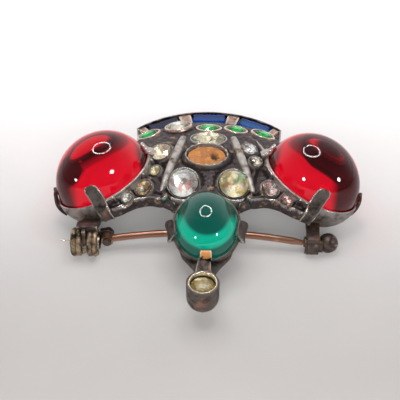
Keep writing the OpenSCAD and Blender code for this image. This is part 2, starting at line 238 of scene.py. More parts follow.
# %% Lamps
def soft_lamp(name, at, target, size, watts):
    """A round area lamp that faces a point."""
    lamp = bpy.data.objects.new(name, bpy.data.lights.new(name, "AREA"))
    lamp.data.shape = "DISK"
    lamp.data.size = size * MM
    lamp.data.energy = watts
    lamp.location = np.asarray(at) * MM
    aim(lamp, np.asarray(target) * MM)
    bpy.context.scene.collection.objects.link(lamp)
    return lamp


RING_AT, RING_R, RING_LAMPS = np.array([-3.5, 1.5, 62]), 17.5, 24
for i in range(RING_LAMPS):
    t = 2 * math.pi * i / RING_LAMPS
    spot = RING_AT + RING_R * np.array([math.cos(t), math.sin(t), 0])
    ring_lamp = soft_lamp(f"ring_lamp_{i}", spot, spot - [0, 0, 10], 3.0, 0.0008)
    ring_lamp.visible_transmission = False
soft_lamp("right_glint", (95, -110, 62), (0, 0, 5), 24, 0.04)
soft_lamp("left_glint", (-120, -150, 50), (0, 0, 5), 20, 0.04)
front_fill = soft_lamp("front_fill", (0, -150, 75), (0, 0, 0), 150, 0.3)
front_fill.visible_glossy = front_fill.visible_transmission = False

# %% Light tent
world = bpy.data.worlds.new("light_tent")
bpy.context.scene.world = world
world.use_nodes = True
tree = world.node_tree
tree.nodes.clear()
tent_out, tent = tree.nodes.new("ShaderNodeOutputWorld"), tree.nodes.new("ShaderNodeBackground")
tree.links.new(tent.outputs["Background"], tent_out.inputs["Surface"])
way, split = tree.nodes.new("ShaderNodeTexCoord"), tree.nodes.new("ShaderNodeSeparateXYZ")
tree.links.new(way.outputs["Generated"], split.inputs["Vector"])


def brightness(value, stops):
    """A near grey that changes with a value from 0 to 1. Each stop is a value and how bright the tent is."""
    ramp = tree.nodes.new("ShaderNodeValToRGB")
    elements = ramp.color_ramp.elements
    for k, (place, level) in enumerate(stops):
        stop = elements[k] if k < 2 else elements.new(place)
        stop.position, stop.color = place, (level, level * 0.99, level, 1)
    tree.links.new(value, ramp.inputs["Fac"])
    return ramp.outputs["Color"]


front_to_back = tree.nodes.new("ShaderNodeMapRange")
front_to_back.inputs["From Min"].default_value = -1
tree.links.new(split.outputs["Y"], front_to_back.inputs["Value"])
upwards = brightness(split.outputs["Z"], ((0.0, 0.7), (0.12, 1.0), (0.5, 1.0), (0.8, 0.7), (1.0, 0.65)))
backwards = brightness(front_to_back.outputs["Result"], ((0.0, 0.16), (0.34, 0.24), (0.5, 0.45), (0.62, 0.85),
                                                         (0.8, 1.25), (1.0, 1.3)))
# A Mix node has its own sockets for each kind of data. These are the places of the colour ones.
COLOUR_A, COLOUR_B, COLOUR_OUT = 6, 7, 2
both = tree.nodes.new("ShaderNodeMix")
both.data_type, both.blend_type = "RGBA", "MULTIPLY"
both.inputs["Factor"].default_value = 1
tree.links.new(upwards, both.inputs[COLOUR_A])
tree.links.new(backwards, both.inputs[COLOUR_B])
tree.links.new(both.outputs[COLOUR_OUT], tent.inputs["Color"])
bpy.context.scene.view_settings.view_transform = "Standard"
print("tent nodes", len(tree.nodes))

# %% [markdown]
# ## Wear and hollows
# Old silver shines where cloth and fingers rub it, on edges, and turns brown-black where they don't reach.
# Both follow the shape. So each metal mesh is measured once: a vertex that stands out from its neighbours
# is an edge, and one that lies below them is a hollow. The two numbers are kept on the mesh, and the
# shaders read them.

# %% Measure edges and hollows
SOFTENINGS = 2


def unit(v):
    """The same ways, each one long."""
    return v / np.maximum(np.linalg.norm(v, axis=-1, keepdims=True), 1e-12)


def measure_wear(piece, edge_gain=6.0, hollow_gain=6.0):
    """Keeps two numbers from 0 to 1 on each vertex: how much of an edge it is, and how much of a hollow."""
    mesh = piece.data
    n = len(mesh.vertices)
    at, normal = np.empty(n * 3), np.empty(n * 3)
    mesh.vertices.foreach_get("co", at)
    mesh.vertices.foreach_get("normal", normal)
    ends = np.empty(len(mesh.edges) * 2, int)
    mesh.edges.foreach_get("vertices", ends)
    at, normal, (a, b) = at.reshape(-1, 3), normal.reshape(-1, 3), ends.reshape(-1, 2).T
    step = unit(at[b] - at[a])
    bend, links = np.zeros(n), np.zeros(n)
    np.add.at(bend, a, -(normal[a] * step).sum(1))
    np.add.at(bend, b, (normal[b] * step).sum(1))
    np.add.at(links, a, 1)
    np.add.at(links, b, 1)
    bend /= np.maximum(links, 1)
    for _ in range(SOFTENINGS):
        total = bend * 2
        np.add.at(total, a, bend[b])
        np.add.at(total, b, bend[a])
        bend = total / (links + 2)
    for name, value in (("edge", bend * edge_gain), ("hollow", -bend * hollow_gain)):
        layer = mesh.attributes.new(name, "FLOAT", "POINT")
        layer.data.foreach_set("value", np.clip(value, 0, 1).astype(np.float32))


print("each vertex is averaged with its neighbours", SOFTENINGS, "times")

# %% [markdown]
# ## Shader groups
# Four effects come back in several finishes, so each is a node group with named sockets: the bright worn
# edge, the dark of the hollows, patches of worn gold wash, and the fine grain of a casting. A finish places
# the groups it needs and sets their values. The Principled shader itself stays in the finish. The small
# functions here do the wiring, so that a group can be read as one line of sums after another.


# %% Group tools
def new_group(name, output, **inputs):
    """An empty shader group with one output. Each input is named with its usual value."""
    tree = bpy.data.node_groups.new(name, "ShaderNodeTree")
    for label, value in inputs.items():
        made = tree.interface.new_socket(label, in_out="INPUT", socket_type="NodeSocketFloat")
        made.default_value = value
    tree.interface.new_socket(output, in_out="OUTPUT", socket_type="NodeSocketFloat")
    return tree, tree.nodes.new("NodeGroupInput").outputs, tree.nodes.new("NodeGroupOutput").inputs[output]


def feed(tree, socket, value):
    """Gives a socket a number, a colour, or what another node puts out."""
    if isinstance(value, (int, float)):
        socket.default_value = value
    elif isinstance(value, tuple):
        socket.default_value = (*value, 1)
    else:
        tree.links.new(value, socket)


print("wiring tools ready for", bpy.app.version_string)


# %% Sums, noise and steps
def math_node(tree, operation, a, b):
    node = tree.nodes.new("ShaderNodeMath")
    node.operation = operation
    feed(tree, node.inputs[0], a)
    feed(tree, node.inputs[1], b)
    return node.outputs[0]


def noise_node(tree, scale, detail=4.0, rough=0.6):
    """Noise in the object's own coordinates; scale is in waves per metre."""
    place, node = tree.nodes.new("ShaderNodeTexCoord"), tree.nodes.new("ShaderNodeTexNoise")
    for name, value in (("Vector", place.outputs["Object"]), ("Scale", scale), ("Detail", detail),
                        ("Roughness", rough)):
        feed(tree, node.inputs[name], value)
    return node.outputs[0]


def attribute_node(tree, name):
    """A number that was kept on the mesh."""
    node = tree.nodes.new("ShaderNodeAttribute")
    node.attribute_name = name
    return node.outputs["Fac"]


def smooth_step(tree, value, low, high):
    """0 below low, 1 above high, and a soft change between them."""
    node = tree.nodes.new("ShaderNodeMapRange")
    node.interpolation_type = "SMOOTHSTEP"
    for name, given in (("Value", value), ("From Min", low), ("From Max", high)):
        feed(tree, node.inputs[name], given)
    return node.outputs[0]


print("a soft step is 0 up to its first number and 1 from its second")

# %% Worn edge and deep hollow
SPECKLE, EDGE_SOFT = 0.7, 0.35
worn_edge, given, mask = new_group("worn_edge", "Mask", Wear=0.6, Breakup=1400.0)
speckle = math_node(worn_edge, "SUBTRACT", noise_node(worn_edge, given["Breakup"]), 0.5)
raised = math_node(worn_edge, "ADD", attribute_node(worn_edge, "edge"),
                   math_node(worn_edge, "MULTIPLY", speckle, SPECKLE))
limit = math_node(worn_edge, "SUBTRACT", 1.0, given["Wear"])
full = math_node(worn_edge, "ADD", limit, EDGE_SOFT)
feed(worn_edge, mask, smooth_step(worn_edge, raised, limit, full))

DIRT, HOLLOW_SOFT = 0.6, 0.25
deep_hollow, given, mask = new_group("deep_hollow", "Mask", Depth=0.5, Breakup=900.0)
dirt = math_node(deep_hollow, "MULTIPLY", noise_node(deep_hollow, given["Breakup"]), DIRT)
sunk = math_node(deep_hollow, "ADD", attribute_node(deep_hollow, "hollow"), dirt)
limit = math_node(deep_hollow, "SUBTRACT", 1.0, given["Depth"])
start = math_node(deep_hollow, "SUBTRACT", limit, HOLLOW_SOFT)
feed(deep_hollow, mask, smooth_step(deep_hollow, sunk, start, limit))
print("groups", [g.name for g in bpy.data.node_groups])

# %% Gold wash and casting grain
PATCH_SOFT = 0.14
gold_wash, given, mask = new_group("gold_wash", "Mask", Cover=0.5, Patch=500.0)
patch = noise_node(gold_wash, given["Patch"], 5.0, 0.65)
limit = math_node(gold_wash, "SUBTRACT", 1.0, given["Cover"])
full = math_node(gold_wash, "ADD", limit, PATCH_SOFT)
feed(gold_wash, mask, smooth_step(gold_wash, patch, limit, full))

FINE_SHARE = 0.45
cast_grain, given, relief = new_group("cast_grain", "Height", Grain=3500.0, Pits=1200.0)
fine = noise_node(cast_grain, given["Grain"], 6.0, 0.7)
coarse = noise_node(cast_grain, given["Pits"], 3.0, 0.55)
pits = smooth_step(cast_grain, coarse, 0.35, 0.55)
fine = math_node(cast_grain, "MULTIPLY", fine, FINE_SHARE)
feed(cast_grain, relief, math_node(cast_grain, "ADD", fine, pits))
print("groups", [g.name for g in bpy.data.node_groups])

# %% [markdown]
# ## Finishes
# A finish is a material whose Principled shader is fed by groups and noise. Blender's Mix node blends two
# colours or two numbers by a mask, and the Bump node turns a height into small changes of the surface's
# slope.

# %% Finish tools
VALUE_A, VALUE_B = 2, 3


def new_finish(name):
    """A new material, its node tree and its Principled shader."""
    finish = bpy.data.materials.new(name)
    finish.use_nodes = True
    tree = finish.node_tree
    shader = next(n for n in tree.nodes if n.type == "BSDF_PRINCIPLED")
    return finish, tree, shader


def use(tree, group, **values):
    """Places a group in a finish and sets its values."""
    node = tree.nodes.new("ShaderNodeGroup")
    node.node_tree = group
    for name, value in values.items():
        node.inputs[name].default_value = value
    return node.outputs[0]


def mix_colour(tree, mask, a, b):
    node = tree.nodes.new("ShaderNodeMix")
    node.data_type = "RGBA"
    for socket, value in ((0, mask), (COLOUR_A, a), (COLOUR_B, b)):
        feed(tree, node.inputs[socket], value)
    return node.outputs[COLOUR_OUT]


def mix_value(tree, mask, a, b):
    node = tree.nodes.new("ShaderNodeMix")
    for socket, value in ((0, mask), (VALUE_A, a), (VALUE_B, b)):
        feed(tree, node.inputs[socket], value)
    return node.outputs[0]


def bump(tree, shader, height, strength, depth=0.00006):
    """Small relief from a height. The depth is in metres."""
    node = tree.nodes.new("ShaderNodeBump")
    node.inputs["Strength"].default_value = strength
    node.inputs["Distance"].default_value = depth
    tree.links.new(height, node.inputs["Height"])
    tree.links.new(node.outputs[0], shader.inputs["Normal"])


print("finish tools ready, with", len(bpy.data.node_groups), "groups to place")

# %% [markdown]
# ## Metal finishes
# One recipe makes every old metal here: a dark tarnish, a warmer wash in patches, bare metal on worn edges,
# and black in the hollows. Silver, the pinkish band, brass wire and the copper-gold pin differ only in the
# colours and in how far each effect goes.

# %% Old metals
HOLLOW_ROUGH = 0.62


def old_metal(name, tarnish, wash, bare, black, wear, cover, depth, rough=(0.5, 0.24), grain=0.35,
              patch=420.0, metallic=0.9):
    """Four colours, how far wear, wash and hollows go, and how rough the tarnish and the bare metal are."""
    finish, tree, shader = new_finish(name)
    warm = use(tree, gold_wash, Cover=cover, Patch=patch)
    worn = use(tree, worn_edge, Wear=wear)
    sunk = use(tree, deep_hollow, Depth=depth)
    colour = mix_colour(tree, warm, tarnish, wash)
    colour = mix_colour(tree, sunk, colour, black)
    colour = mix_colour(tree, worn, colour, bare)
    tree.links.new(colour, shader.inputs["Base Color"])
    dull = mix_value(tree, sunk, rough[0], HOLLOW_ROUGH)
    tree.links.new(mix_value(tree, worn, dull, rough[1]), shader.inputs["Roughness"])
    shader.inputs["Metallic"].default_value = metallic
    bump(tree, shader, use(tree, cast_grain), grain)
    return finish


OLD_SILVER = old_metal("old_silver", (0.34, 0.31, 0.29), (0.42, 0.25, 0.13), (0.6, 0.57, 0.54),
                       (0.016, 0.013, 0.012), wear=0.42, cover=0.46, depth=0.5)
DARK_SILVER = old_metal("dark_silver", (0.075, 0.061, 0.064), (0.36, 0.23, 0.125), (0.5, 0.46, 0.42),
                        (0.024, 0.018, 0.017), wear=0.36, cover=0.46, depth=0.46, patch=1300.0)
BRIGHT_SILVER = old_metal("bright_silver", (0.46, 0.42, 0.385), (0.2, 0.14, 0.1), (0.72, 0.68, 0.65),
                          (0.03, 0.024, 0.021), wear=0.5, cover=0.45, depth=0.5, rough=(0.42, 0.24))
STAINED_SILVER = old_metal("stained_silver", (0.15, 0.128, 0.115), (0.34, 0.18, 0.13), (0.56, 0.5, 0.45),
                           (0.018, 0.012, 0.01), wear=0.36, cover=0.44, depth=0.5, patch=330.0)
# The lining's pale, half-matt silver is clean metal and also painted light for what the dome gathers onto it.
CLEAN_AND_PAINTED_LIGHT_SILVER = old_metal("clean_silver_painted_light", (0.86, 0.84, 0.8), (0.8, 0.74, 0.66), (0.9, 0.88, 0.86),
                         (0.5, 0.45, 0.4), wear=0.5, cover=0.4, depth=0.2, rough=(0.6, 0.5), grain=0.15,
                         metallic=0.3)
silvers = (OLD_SILVER, DARK_SILVER, BRIGHT_SILVER, STAINED_SILVER, CLEAN_AND_PAINTED_LIGHT_SILVER)
print("silver finishes", [m.name for m in silvers])

# %% Gold, brass and copper
ROSE_GOLD = old_metal("rose_gold_wash", (0.33, 0.2, 0.15), (0.38, 0.26, 0.16), (0.66, 0.52, 0.44),
                      (0.05, 0.028, 0.02), wear=0.42, cover=0.5, depth=0.5, rough=(0.42, 0.24))
OLD_BRASS = old_metal("old_brass", (0.6, 0.4, 0.26), (0.66, 0.52, 0.3), (0.9, 0.8, 0.6),
                      (0.02, 0.014, 0.009), wear=0.42, cover=0.5, depth=0.6, rough=(0.36, 0.2), grain=0.2)
BROWN_BRASS = old_metal("brown_brass", (0.12, 0.09, 0.08), (0.2, 0.125, 0.075), (0.42, 0.36, 0.31),
                        (0.014, 0.011, 0.009), wear=0.3, cover=0.48, depth=0.5, rough=(0.4, 0.24))
COPPER_GOLD = old_metal("copper_gold", (0.36, 0.18, 0.12), (0.48, 0.29, 0.18), (0.7, 0.52, 0.4),
                        (0.06, 0.025, 0.015), wear=0.2, cover=0.5, depth=0.3, rough=(0.3, 0.22), grain=0.12,
                        patch=300.0)
COPPER_TIP = old_metal("copper_tip", (0.72, 0.31, 0.11), (0.75, 0.4, 0.18), (0.85, 0.6, 0.42),
                       (0.1, 0.05, 0.03), wear=0.4, cover=0.5, depth=0.3, metallic=0.5)
print("warmer finishes", [m.name for m in (ROSE_GOLD, OLD_BRASS, BROWN_BRASS, COPPER_GOLD, COPPER_TIP)])

# %% [markdown]
# ## Glass finishes
# The domed stones are clear coloured glass. Glass in a path tracer would throw a black shadow, because the
# light's bent paths are hard to find. The usual cure is to let shadow rays pass straight through, tinted.
# The crystals are paler glass over foil. A lower shine keeps the blue and green glass from turning grey
# with reflections.


# %% Glass
def new_glass(name, colour, shadow, rough=0.0, ior=1.52, shine=0.5):
    """Clear glass of a colour, whose shadow has a colour of its own."""
    finish, tree, shader = new_finish(name)
    shader.inputs["Base Color"].default_value = (*colour, 1)
    shader.inputs["Roughness"].default_value = rough
    shader.inputs["IOR"].default_value = ior
    shader.inputs["Transmission Weight"].default_value = 1.0
    shader.inputs["Specular IOR Level"].default_value = shine
    clear, path, mix = (tree.nodes.new("ShaderNodeBsdfTransparent"), tree.nodes.new("ShaderNodeLightPath"),
                        tree.nodes.new("ShaderNodeMixShader"))
    clear.inputs["Color"].default_value = (*shadow, 1)
    out = next(n for n in tree.nodes if n.type == "OUTPUT_MATERIAL")
    tree.links.new(path.outputs["Is Shadow Ray"], mix.inputs[0])
    tree.links.new(shader.outputs[0], mix.inputs[1])
    tree.links.new(clear.outputs[0], mix.inputs[2])
    tree.links.new(mix.outputs[0], out.inputs["Surface"])
    return finish


RUBY = new_glass("ruby_glass", (0.62, 0.0, 0.018), (0.85, 0.05, 0.09))
EMERALD = new_glass("emerald_glass", (0.0, 0.62, 0.43), (0.05, 0.8, 0.6), shine=0.35)
CRYSTAL = new_glass("crystal", (0.97, 0.97, 0.95), (0.9, 0.9, 0.9), 0.01, 1.56)
YELLOWED = new_glass("yellowed_crystal", (0.98, 0.94, 0.76), (0.9, 0.86, 0.7), 0.02, 1.56)
GREEN_CRYSTAL = new_glass("green_crystal", (0.12, 0.8, 0.35), (0.3, 0.8, 0.45), 0.02, 1.56)
BLUE_CRYSTAL = new_glass("blue_crystal", (0.02, 0.32, 0.8), (0.2, 0.3, 0.8), 0.01, 1.4, shine=0.2)
print("glass finishes", [m.name for m in (RUBY, EMERALD, CRYSTAL, YELLOWED, GREEN_CRYSTAL, BLUE_CRYSTAL)])

# %% [markdown]
# ## Foil behind the crystals
# A cut stone is foiled so that the facets of its back throw the light out again. The foil is a metal whose
# tint differs from facet to facet: partly the foil's own ageing, and partly painted reflections, bright and
# dark, that give the facets their sparkle. So the tint is kept on the mesh as a colour, and the finish reads
# it.
# Brown spots mark places where damp has crept in.

# %% Foil behind the crystals
FOIL, tree, shader = new_finish("foil")
tint = tree.nodes.new("ShaderNodeAttribute")
tint.attribute_name = "foil"
spots = smooth_step(tree, noise_node(tree, 2600.0), 0.58, 0.72)
foil_colour = mix_colour(tree, spots, tint.outputs["Color"], (0.22, 0.16, 0.12))
tree.links.new(foil_colour, shader.inputs["Base Color"])
shader.inputs["Metallic"].default_value = 1.0
shader.inputs["Roughness"].default_value = 0.25
print("foil reads the colour kept on the mesh as", tint.attribute_name)

# %% [markdown]
# ## The domed stones
# A cabochon is an ellipsoid cap on a short tapered girdle, polished all over. The skin is lofted from the
# flat back up to the top with rings close enough that no facet shows in its reflections.

# %% Domed stones
STONE_SIDES, DOME_RINGS, BACK_RINGS = 128, 40, 30
BACK_Z, BACK_SHARE = -0.5, 0.95


def dome_stone(a, b, h):
    """A domed stone, its girdle at height 0 and its flat back a little smaller."""
    def ring(x_half, y_half, z):
        return oval_ring(x_half, y_half, z, STONE_SIDES)

    up = np.linspace(0, math.pi / 2, DOME_RINGS)[:-1]
    skin = [ring(BACK_SHARE * a * f, BACK_SHARE * b * f, BACK_Z) for f in np.linspace(0.02, 0.99, BACK_RINGS)]
    skin += [ring(0.957 * a, 0.957 * b, BACK_Z + 0.03), ring(0.995 * a, 0.995 * b, -0.06)]
    skin += [ring(a * math.cos(u), b * math.cos(u), h * math.sin(u)) for u in up]
    skin.append(ring(a * 0.01, b * 0.01, h))
    return loft(skin)


rubies = []
for side, name in ((-1, "left"), (1, "right")):
    skin = by_red(dome_stone(*RED_SIZE), side)
    ruby = make_piece(f"ruby_dome_{name}", skin, f"red_cabochon_{name}")
    ruby.data.materials.append(RUBY)
    rubies.append(ruby)
emerald = make_piece("emerald_dome", by_green(dome_stone(*GREEN_SIZE)), "green_cabochon")
emerald.data.materials.append(EMERALD)
print("domed stones", len(rubies) + 1, "with", len(emerald.data.polygons), "faces each")

# %% [markdown]
# ## Foiled backs with painted light
# Old glass stones are foiled on their flat back under lacquer, and here the foil also carries painted light
# and painted shade. A dome works as a lens and gathers light on its back, so a painted patch of light near
# the front shows as a crescent low in the green stone. On each red stone a painted patch of light, cut by a
# slanting edge, splits it into a bright part and a painted dark one. The patch is drawn as a number on the
# stone's own mesh, and the finish blends a dark and a light colour by it. Seen from behind, the back is dull.


# %% Foil and painted light behind a domed stone
def back_with_painted_light(name, dark, light):
    """The back's finish: painted shade and painted light seen through the glass, and a cloudy brown from
    behind.
    """
    back, tree, shader = new_finish(name)
    facing = tree.nodes.new("ShaderNodeNewGeometry")
    inner = mix_colour(tree, attribute_node(tree, "painted_light_patch"), dark, light)
    cloud = smooth_step(tree, noise_node(tree, 900.0), 0.4, 0.7)
    outer = mix_colour(tree, cloud, (0.1, 0.085, 0.075), (0.2, 0.17, 0.15))
    tree.links.new(mix_colour(tree, facing.outputs["Backfacing"], outer, inner), shader.inputs["Base Color"])
    shader.inputs["Roughness"].default_value = 0.6
    return back


def put_foil_and_painted_light(stone, size, back, patch):
    """Draws a patch of painted light on a stone's back, worked out on the flat skin in shares of its half
    sizes.
    """
    flat = dome_stone(*size)[0]
    across, along = flat[:, 0] / size[0], flat[:, 1] / size[1]
    value = patch(across, along).astype(np.float32)
    stone.data.materials.append(back)
    stone.data.attributes.new("painted_light_patch", "FLOAT", "POINT").data.foreach_set("value", value)
    for face in stone.data.polygons:
        face.material_index = int(all(flat[v, 2] < -0.05 for v in face.vertices))


print("the back is", round(2 * BACK_SHARE * RED_SIZE[0], 1), "long on a red stone")

# %% [markdown]
# A patch of painted light is a product of soft steps. Each step is 1 well inside one border of the patch and
# 0 outside it, and np.clip makes the ramp between them, so that the painted light's edge isn't a hard line.


# %% Patches of painted light
def crescent(across, along):
    """The green stone's painted caustic: inside one circle, outside a smaller one that lies higher, and only
    in the lower part.
    """
    outer = np.clip((0.64 - np.hypot(across, along - 0.1)) / 0.07, 0, 1)
    inner = np.clip((np.hypot(across, along - 0.25) - 0.4) / 0.07, 0, 1)
    return outer * inner * np.clip((0.3 - along) / 0.2, 0, 1)


def slant(edge, reach):
    """Painted light from the inner end as far as a slanting line, and out to a share of the way to the
    girdle.
    """
    def patch(across, along):
        before_line = np.clip((reach - across - 0.38 * along) / 0.12, 0, 1)
        past_end = np.clip((across + 0.66) / 0.1, 0, 1)
        share = np.interp(across, [-0.35, -0.15, 0.1, 0.3], [0.97, edge, edge, 0.8])
        return before_line * past_end * np.clip((share - np.hypot(across, along)) / 0.05, 0, 1)

    return patch


# Seen through the glass, the light colour is the painted light and the dark one is painted shade.
GREEN_BACK = back_with_painted_light("green_back", (0.012, 0.05, 0.06), (0.3, 0.41, 0.4))
RED_BACK = back_with_painted_light("red_back", (0.02, 0.02, 0.04), (0.8, 0.5, 0.72))
put_foil_and_painted_light(emerald, GREEN_SIZE, GREEN_BACK, crescent)
for ruby, edge, reach in zip(rubies, (0.98, 0.83), (0.7, 0.58)):
    put_foil_and_painted_light(ruby, RED_SIZE, RED_BACK, slant(edge, reach))
print("foiled faces on each stone", sum(face.material_index for face in emerald.data.polygons))

# %% [markdown]
# ## Cut crystals
# Each small stone is a brilliant: an eight-sided table, star, kite and girdle facets above, and a pointed
# back under foil. Crystals of this age show patches of white, pink and yellow, since the foil has aged
# unevenly, and the tints also paint the facets' reflections: white for bright ones, a dark grey for dark
# ones. So every facet of the back takes its own tint from a short list. The row above the band has
# pointed ovals.


# %% Brilliant cut
def brilliant(a, b, top, deep, pointed=0.0):
    """The skin of a cut stone, and how many of its faces are above the back."""
    def at(radius, step, z):
        t = math.radians(22.5 * step)
        squeeze = 1 - pointed * abs(math.cos(t)) ** 3
        return (a * radius * math.cos(t), b * radius * math.sin(t) * squeeze, z)

    table = [at(0.56, 2 * k, top) for k in range(8)]
    star = [at(0.79, 2 * k + 1, 0.62 * top) for k in range(8)]
    upper = [at(1, k, 0.03) for k in range(16)]
    lower = [at(1, k, -0.03) for k in range(16)]
    below = [at(0.42, 2 * k + 1, -0.72 * deep) for k in range(8)]
    points = table + star + upper + lower + below + [(0, 0, -deep)]
    # The star, upper, lower and below points and the tip start at these places in the list.
    S, U, L, B, tip = 8, 16, 32, 48, 56
    faces = [tuple(range(8))]
    for k in range(8):
        faces += [(k, S + k, (k + 1) % 8), (k, S + (k - 1) % 8, U + 2 * k, S + k),
                  (S + k, U + 2 * k, U + 2 * k + 1), (S + k, U + 2 * k + 1, U + (2 * k + 2) % 16)]
    faces += [(U + k, L + k, L + (k + 1) % 16, U + (k + 1) % 16) for k in range(16)]
    above = len(faces)
    for k in range(8):
        faces += [(B + k, L + 2 * k + 1, L + 2 * k), (B + k, L + (2 * k + 2) % 16, L + 2 * k + 1),
                  (B + (k - 1) % 8, B + k, L + 2 * k), (B + (k - 1) % 8, tip, B + k)]
    return (np.array(points), faces), above


print("a brilliant has", len(brilliant(1, 1, 0.36, 0.55)[0][1]), "facets")


# %% Set a crystal
def paint_foil(stone, glass, tints, seed, is_foil):
    """Gives each face glass or foil, and a tint of its own, a little darker or lighter, which paints the
    facets' reflections.
    """
    mesh = stone.data
    mesh.materials.append(glass)
    mesh.materials.append(FOIL)
    foil = mesh.attributes.new("foil", "FLOAT_COLOR", "CORNER")
    pick = np.random.default_rng(seed)
    for face in mesh.polygons:
        face.material_index = int(is_foil(face))
        tint = tints[pick.integers(len(tints))]
        shade = 0.75 + 0.25 * pick.random()
        for loop in face.loop_indices:
            foil.data[loop].color = (*(c * shade for c in tint), 1)


def set_crystal(name, place, node, slot, glass, tints, seed, pointed=0.0):
    """A cut crystal in one of the small settings."""
    skin, above = brilliant(place.a, place.b, 0.36 * place.b, 0.55 * place.b, pointed)
    stone = make_piece(name, put(skin, *seat(place)), node, smooth=False)
    paint_foil(stone, glass, tints, seed, lambda face: face.index >= above)


# White and the dark grey are painted bright and dark reflections in the foil, as well as its aged tints.
WHITE, PINK, GOLD, DARK_REFLECTION = (1.0, 1.0, 0.98), (0.9, 0.5, 0.46), (0.95, 0.8, 0.42), (0.3, 0.3, 0.28)
PALE, CREAM, DULL = (0.9, 0.86, 0.76), (0.95, 0.88, 0.7), (0.68, 0.7, 0.6)
set_crystal("round_crystal_left", ROUND["left"], "round_stone_left", "clear_crystal", CRYSTAL,
            [WHITE, WHITE, WHITE, WHITE, WHITE, PINK, PALE], seed=4)
set_crystal("round_crystal_right", ROUND["right"], "round_stone_right", "yellow_crystal", YELLOWED,
            [GOLD, WHITE, WHITE, PALE, WHITE, WHITE, CREAM], seed=7)
set_crystal("oval_crystal", OVAL, "oval_stone", "clear_crystal", YELLOWED,
            [WHITE, PALE, DARK_REFLECTION, PALE, WHITE], seed=3)

# %% Side and row crystals
SIDE_LOOK = {"left_1": ("yellow_crystal", [WHITE, WHITE, PALE, PINK]),
             "left_2": ("yellow_crystal", [GOLD, PALE, WHITE]),
             "left_3": ("pink_crystal", [PINK, GOLD, DARK_REFLECTION]),
             "left_4": ("clear_crystal", [WHITE, WHITE, PALE]),
             "right_1": ("clear_crystal", [WHITE, DARK_REFLECTION, WHITE, WHITE]),
             "right_2": ("clear_crystal", [WHITE, GOLD, DARK_REFLECTION]),
             "right_3": ("pink_crystal", [PINK, WHITE, DARK_REFLECTION]),
             "right_4": ("pink_crystal", [PINK, PINK, WHITE])}
for i, (key, place) in enumerate(SIDE.items()):
    slot, tints = SIDE_LOOK[key]
    glass = YELLOWED if slot == "yellow_crystal" else CRYSTAL
    set_crystal(f"side_crystal_{key}", place, f"side_stone_{key}", slot, glass, tints, seed=20 + i)

LEAF, MINT, CLEAR_ONE = (0.06, 0.6, 0.2), (0.4, 0.7, 0.5), 2
for i, place in ROW.items():
    look = ("green_crystal", GREEN_CRYSTAL, [LEAF, MINT, LEAF])
    if i == CLEAR_ONE:
        look = ("clear_crystal", CRYSTAL, [DULL, PALE, DULL, PALE])
    set_crystal(f"row_crystal_{i}", place, f"row_stone_{i}", *look, seed=30 + i,
                pointed=0.22 if i == CLEAR_ONE else 0.25)

# %% [markdown]
# ## Finial stone
# The last crystal is sunk in the mouth of the finial's tube. It is the same cut, lying level, and it is
# sized from the tube: its radius less the wall, less a hair of room. A real stone needs that room to go in.

# %% Finial stone
FINIAL_AT, FINIAL_R, FINIAL_TOP, FINIAL_WALL = np.array([-0.3, -17.9]), 2.125, 6.2, 0.42
GAP, FINIAL_SUNK = 0.06, 0.9
inner = FINIAL_R - FINIAL_WALL - GAP
(points, faces), above = brilliant(inner, inner, 0.3 * inner, 0.5 * inner)
finial_stone = make_piece("finial_crystal", (points + [*FINIAL_AT, FINIAL_TOP - FINIAL_SUNK], faces),
                          "finial_stone", smooth=False)
paint_foil(finial_stone, YELLOWED, [GOLD, PALE, GOLD, WHITE], 11, lambda face: face.index >= above)
print("finial stone", round(2 * inner, 2), "across")

# %% [markdown]
# ## Blue baguettes
# The band holds three step-cut bars of blue glass. They are cut with two steps on each side and a long flat
# table, and lie on foil. Each bar's foil is painted for the light it catches: near black under the left bar
# as painted shade, bright royal blue under the right one as a painted reflection.

# %% Baguettes
BAND_Y, CHANNEL_R, CHANNEL_Z = 3.7, 14.4, 4.4
BAR_LONG, BAR_WIDE, BAR_APART = 5.3, 2.2, 29
# Each step of the cut has its share of the length and of the width, and its height.
BAR_STEPS = [(1, 1, 0), (1, 1, 0.3), (0.97, 0.9, 0.52), (0.92, 0.7, 0.8)]


def baguette(angle):
    """A bar in the band's channel, at an angle from the crown's middle."""
    points, faces = loft([[[sx * fx * BAR_LONG / 2, sy * fy * BAR_WIDE / 2, z]
                           for sx, sy in ((-1, -1), (1, -1), (1, 1), (-1, 1))] for fx, fy, z in BAR_STEPS])
    return put((points + [0, CHANNEL_R, 0], faces), [0, BAND_Y, CHANNEL_Z + GAP], turn_about(Z, angle))


# The tints are painted shade and reflection: dark for the left bar, bright for the right one.
BLUES = {"left": [(0.02, 0.03, 0.08), (0.06, 0.09, 0.18)], "centre": [(0.0, 0.3, 0.5), (0.0, 0.2, 0.4)],
         "right": [(0.02, 0.45, 0.6), (0.1, 0.3, 0.45)]}
for i, (name, tints) in enumerate(BLUES.items()):
    bar = make_piece(f"blue_bar_{name}", baguette(BAR_APART * (1 - i)), f"baguette_{name}",
                     smooth=False)
    paint_foil(bar, BLUE_CRYSTAL, tints, 40 + i, lambda face: face.normal.z < -0.9)
print("baguettes", list(BLUES))

# %% [markdown]
# ## The cast shell
# The crown's front is one thin casting, domed like a shallow shield. It is modelled as the founder sees it,
# as two height maps, one for the front and one for the back, trimmed to an outline. Each stone adds a soft
# mound with a trimmed seat, and the small stones lie in a sunk channel. Points on the rim are pulled onto
# the outline, so that the edge is a clean line and the skin is closed.


# %% Lines and polygons seen from above
def along_straight(x, y, p, q):
    """How far along the straight piece from p to q each place is, from 0 to 1, and how far beside it."""
    dx, dy = q[0] - p[0], q[1] - p[1]
    t = np.clip(((x - p[0]) * dx + (y - p[1]) * dy) / (dx * dx + dy * dy), 0, 1)
    return t, np.hypot(x - p[0] - t * dx, y - p[1] - t * dy)


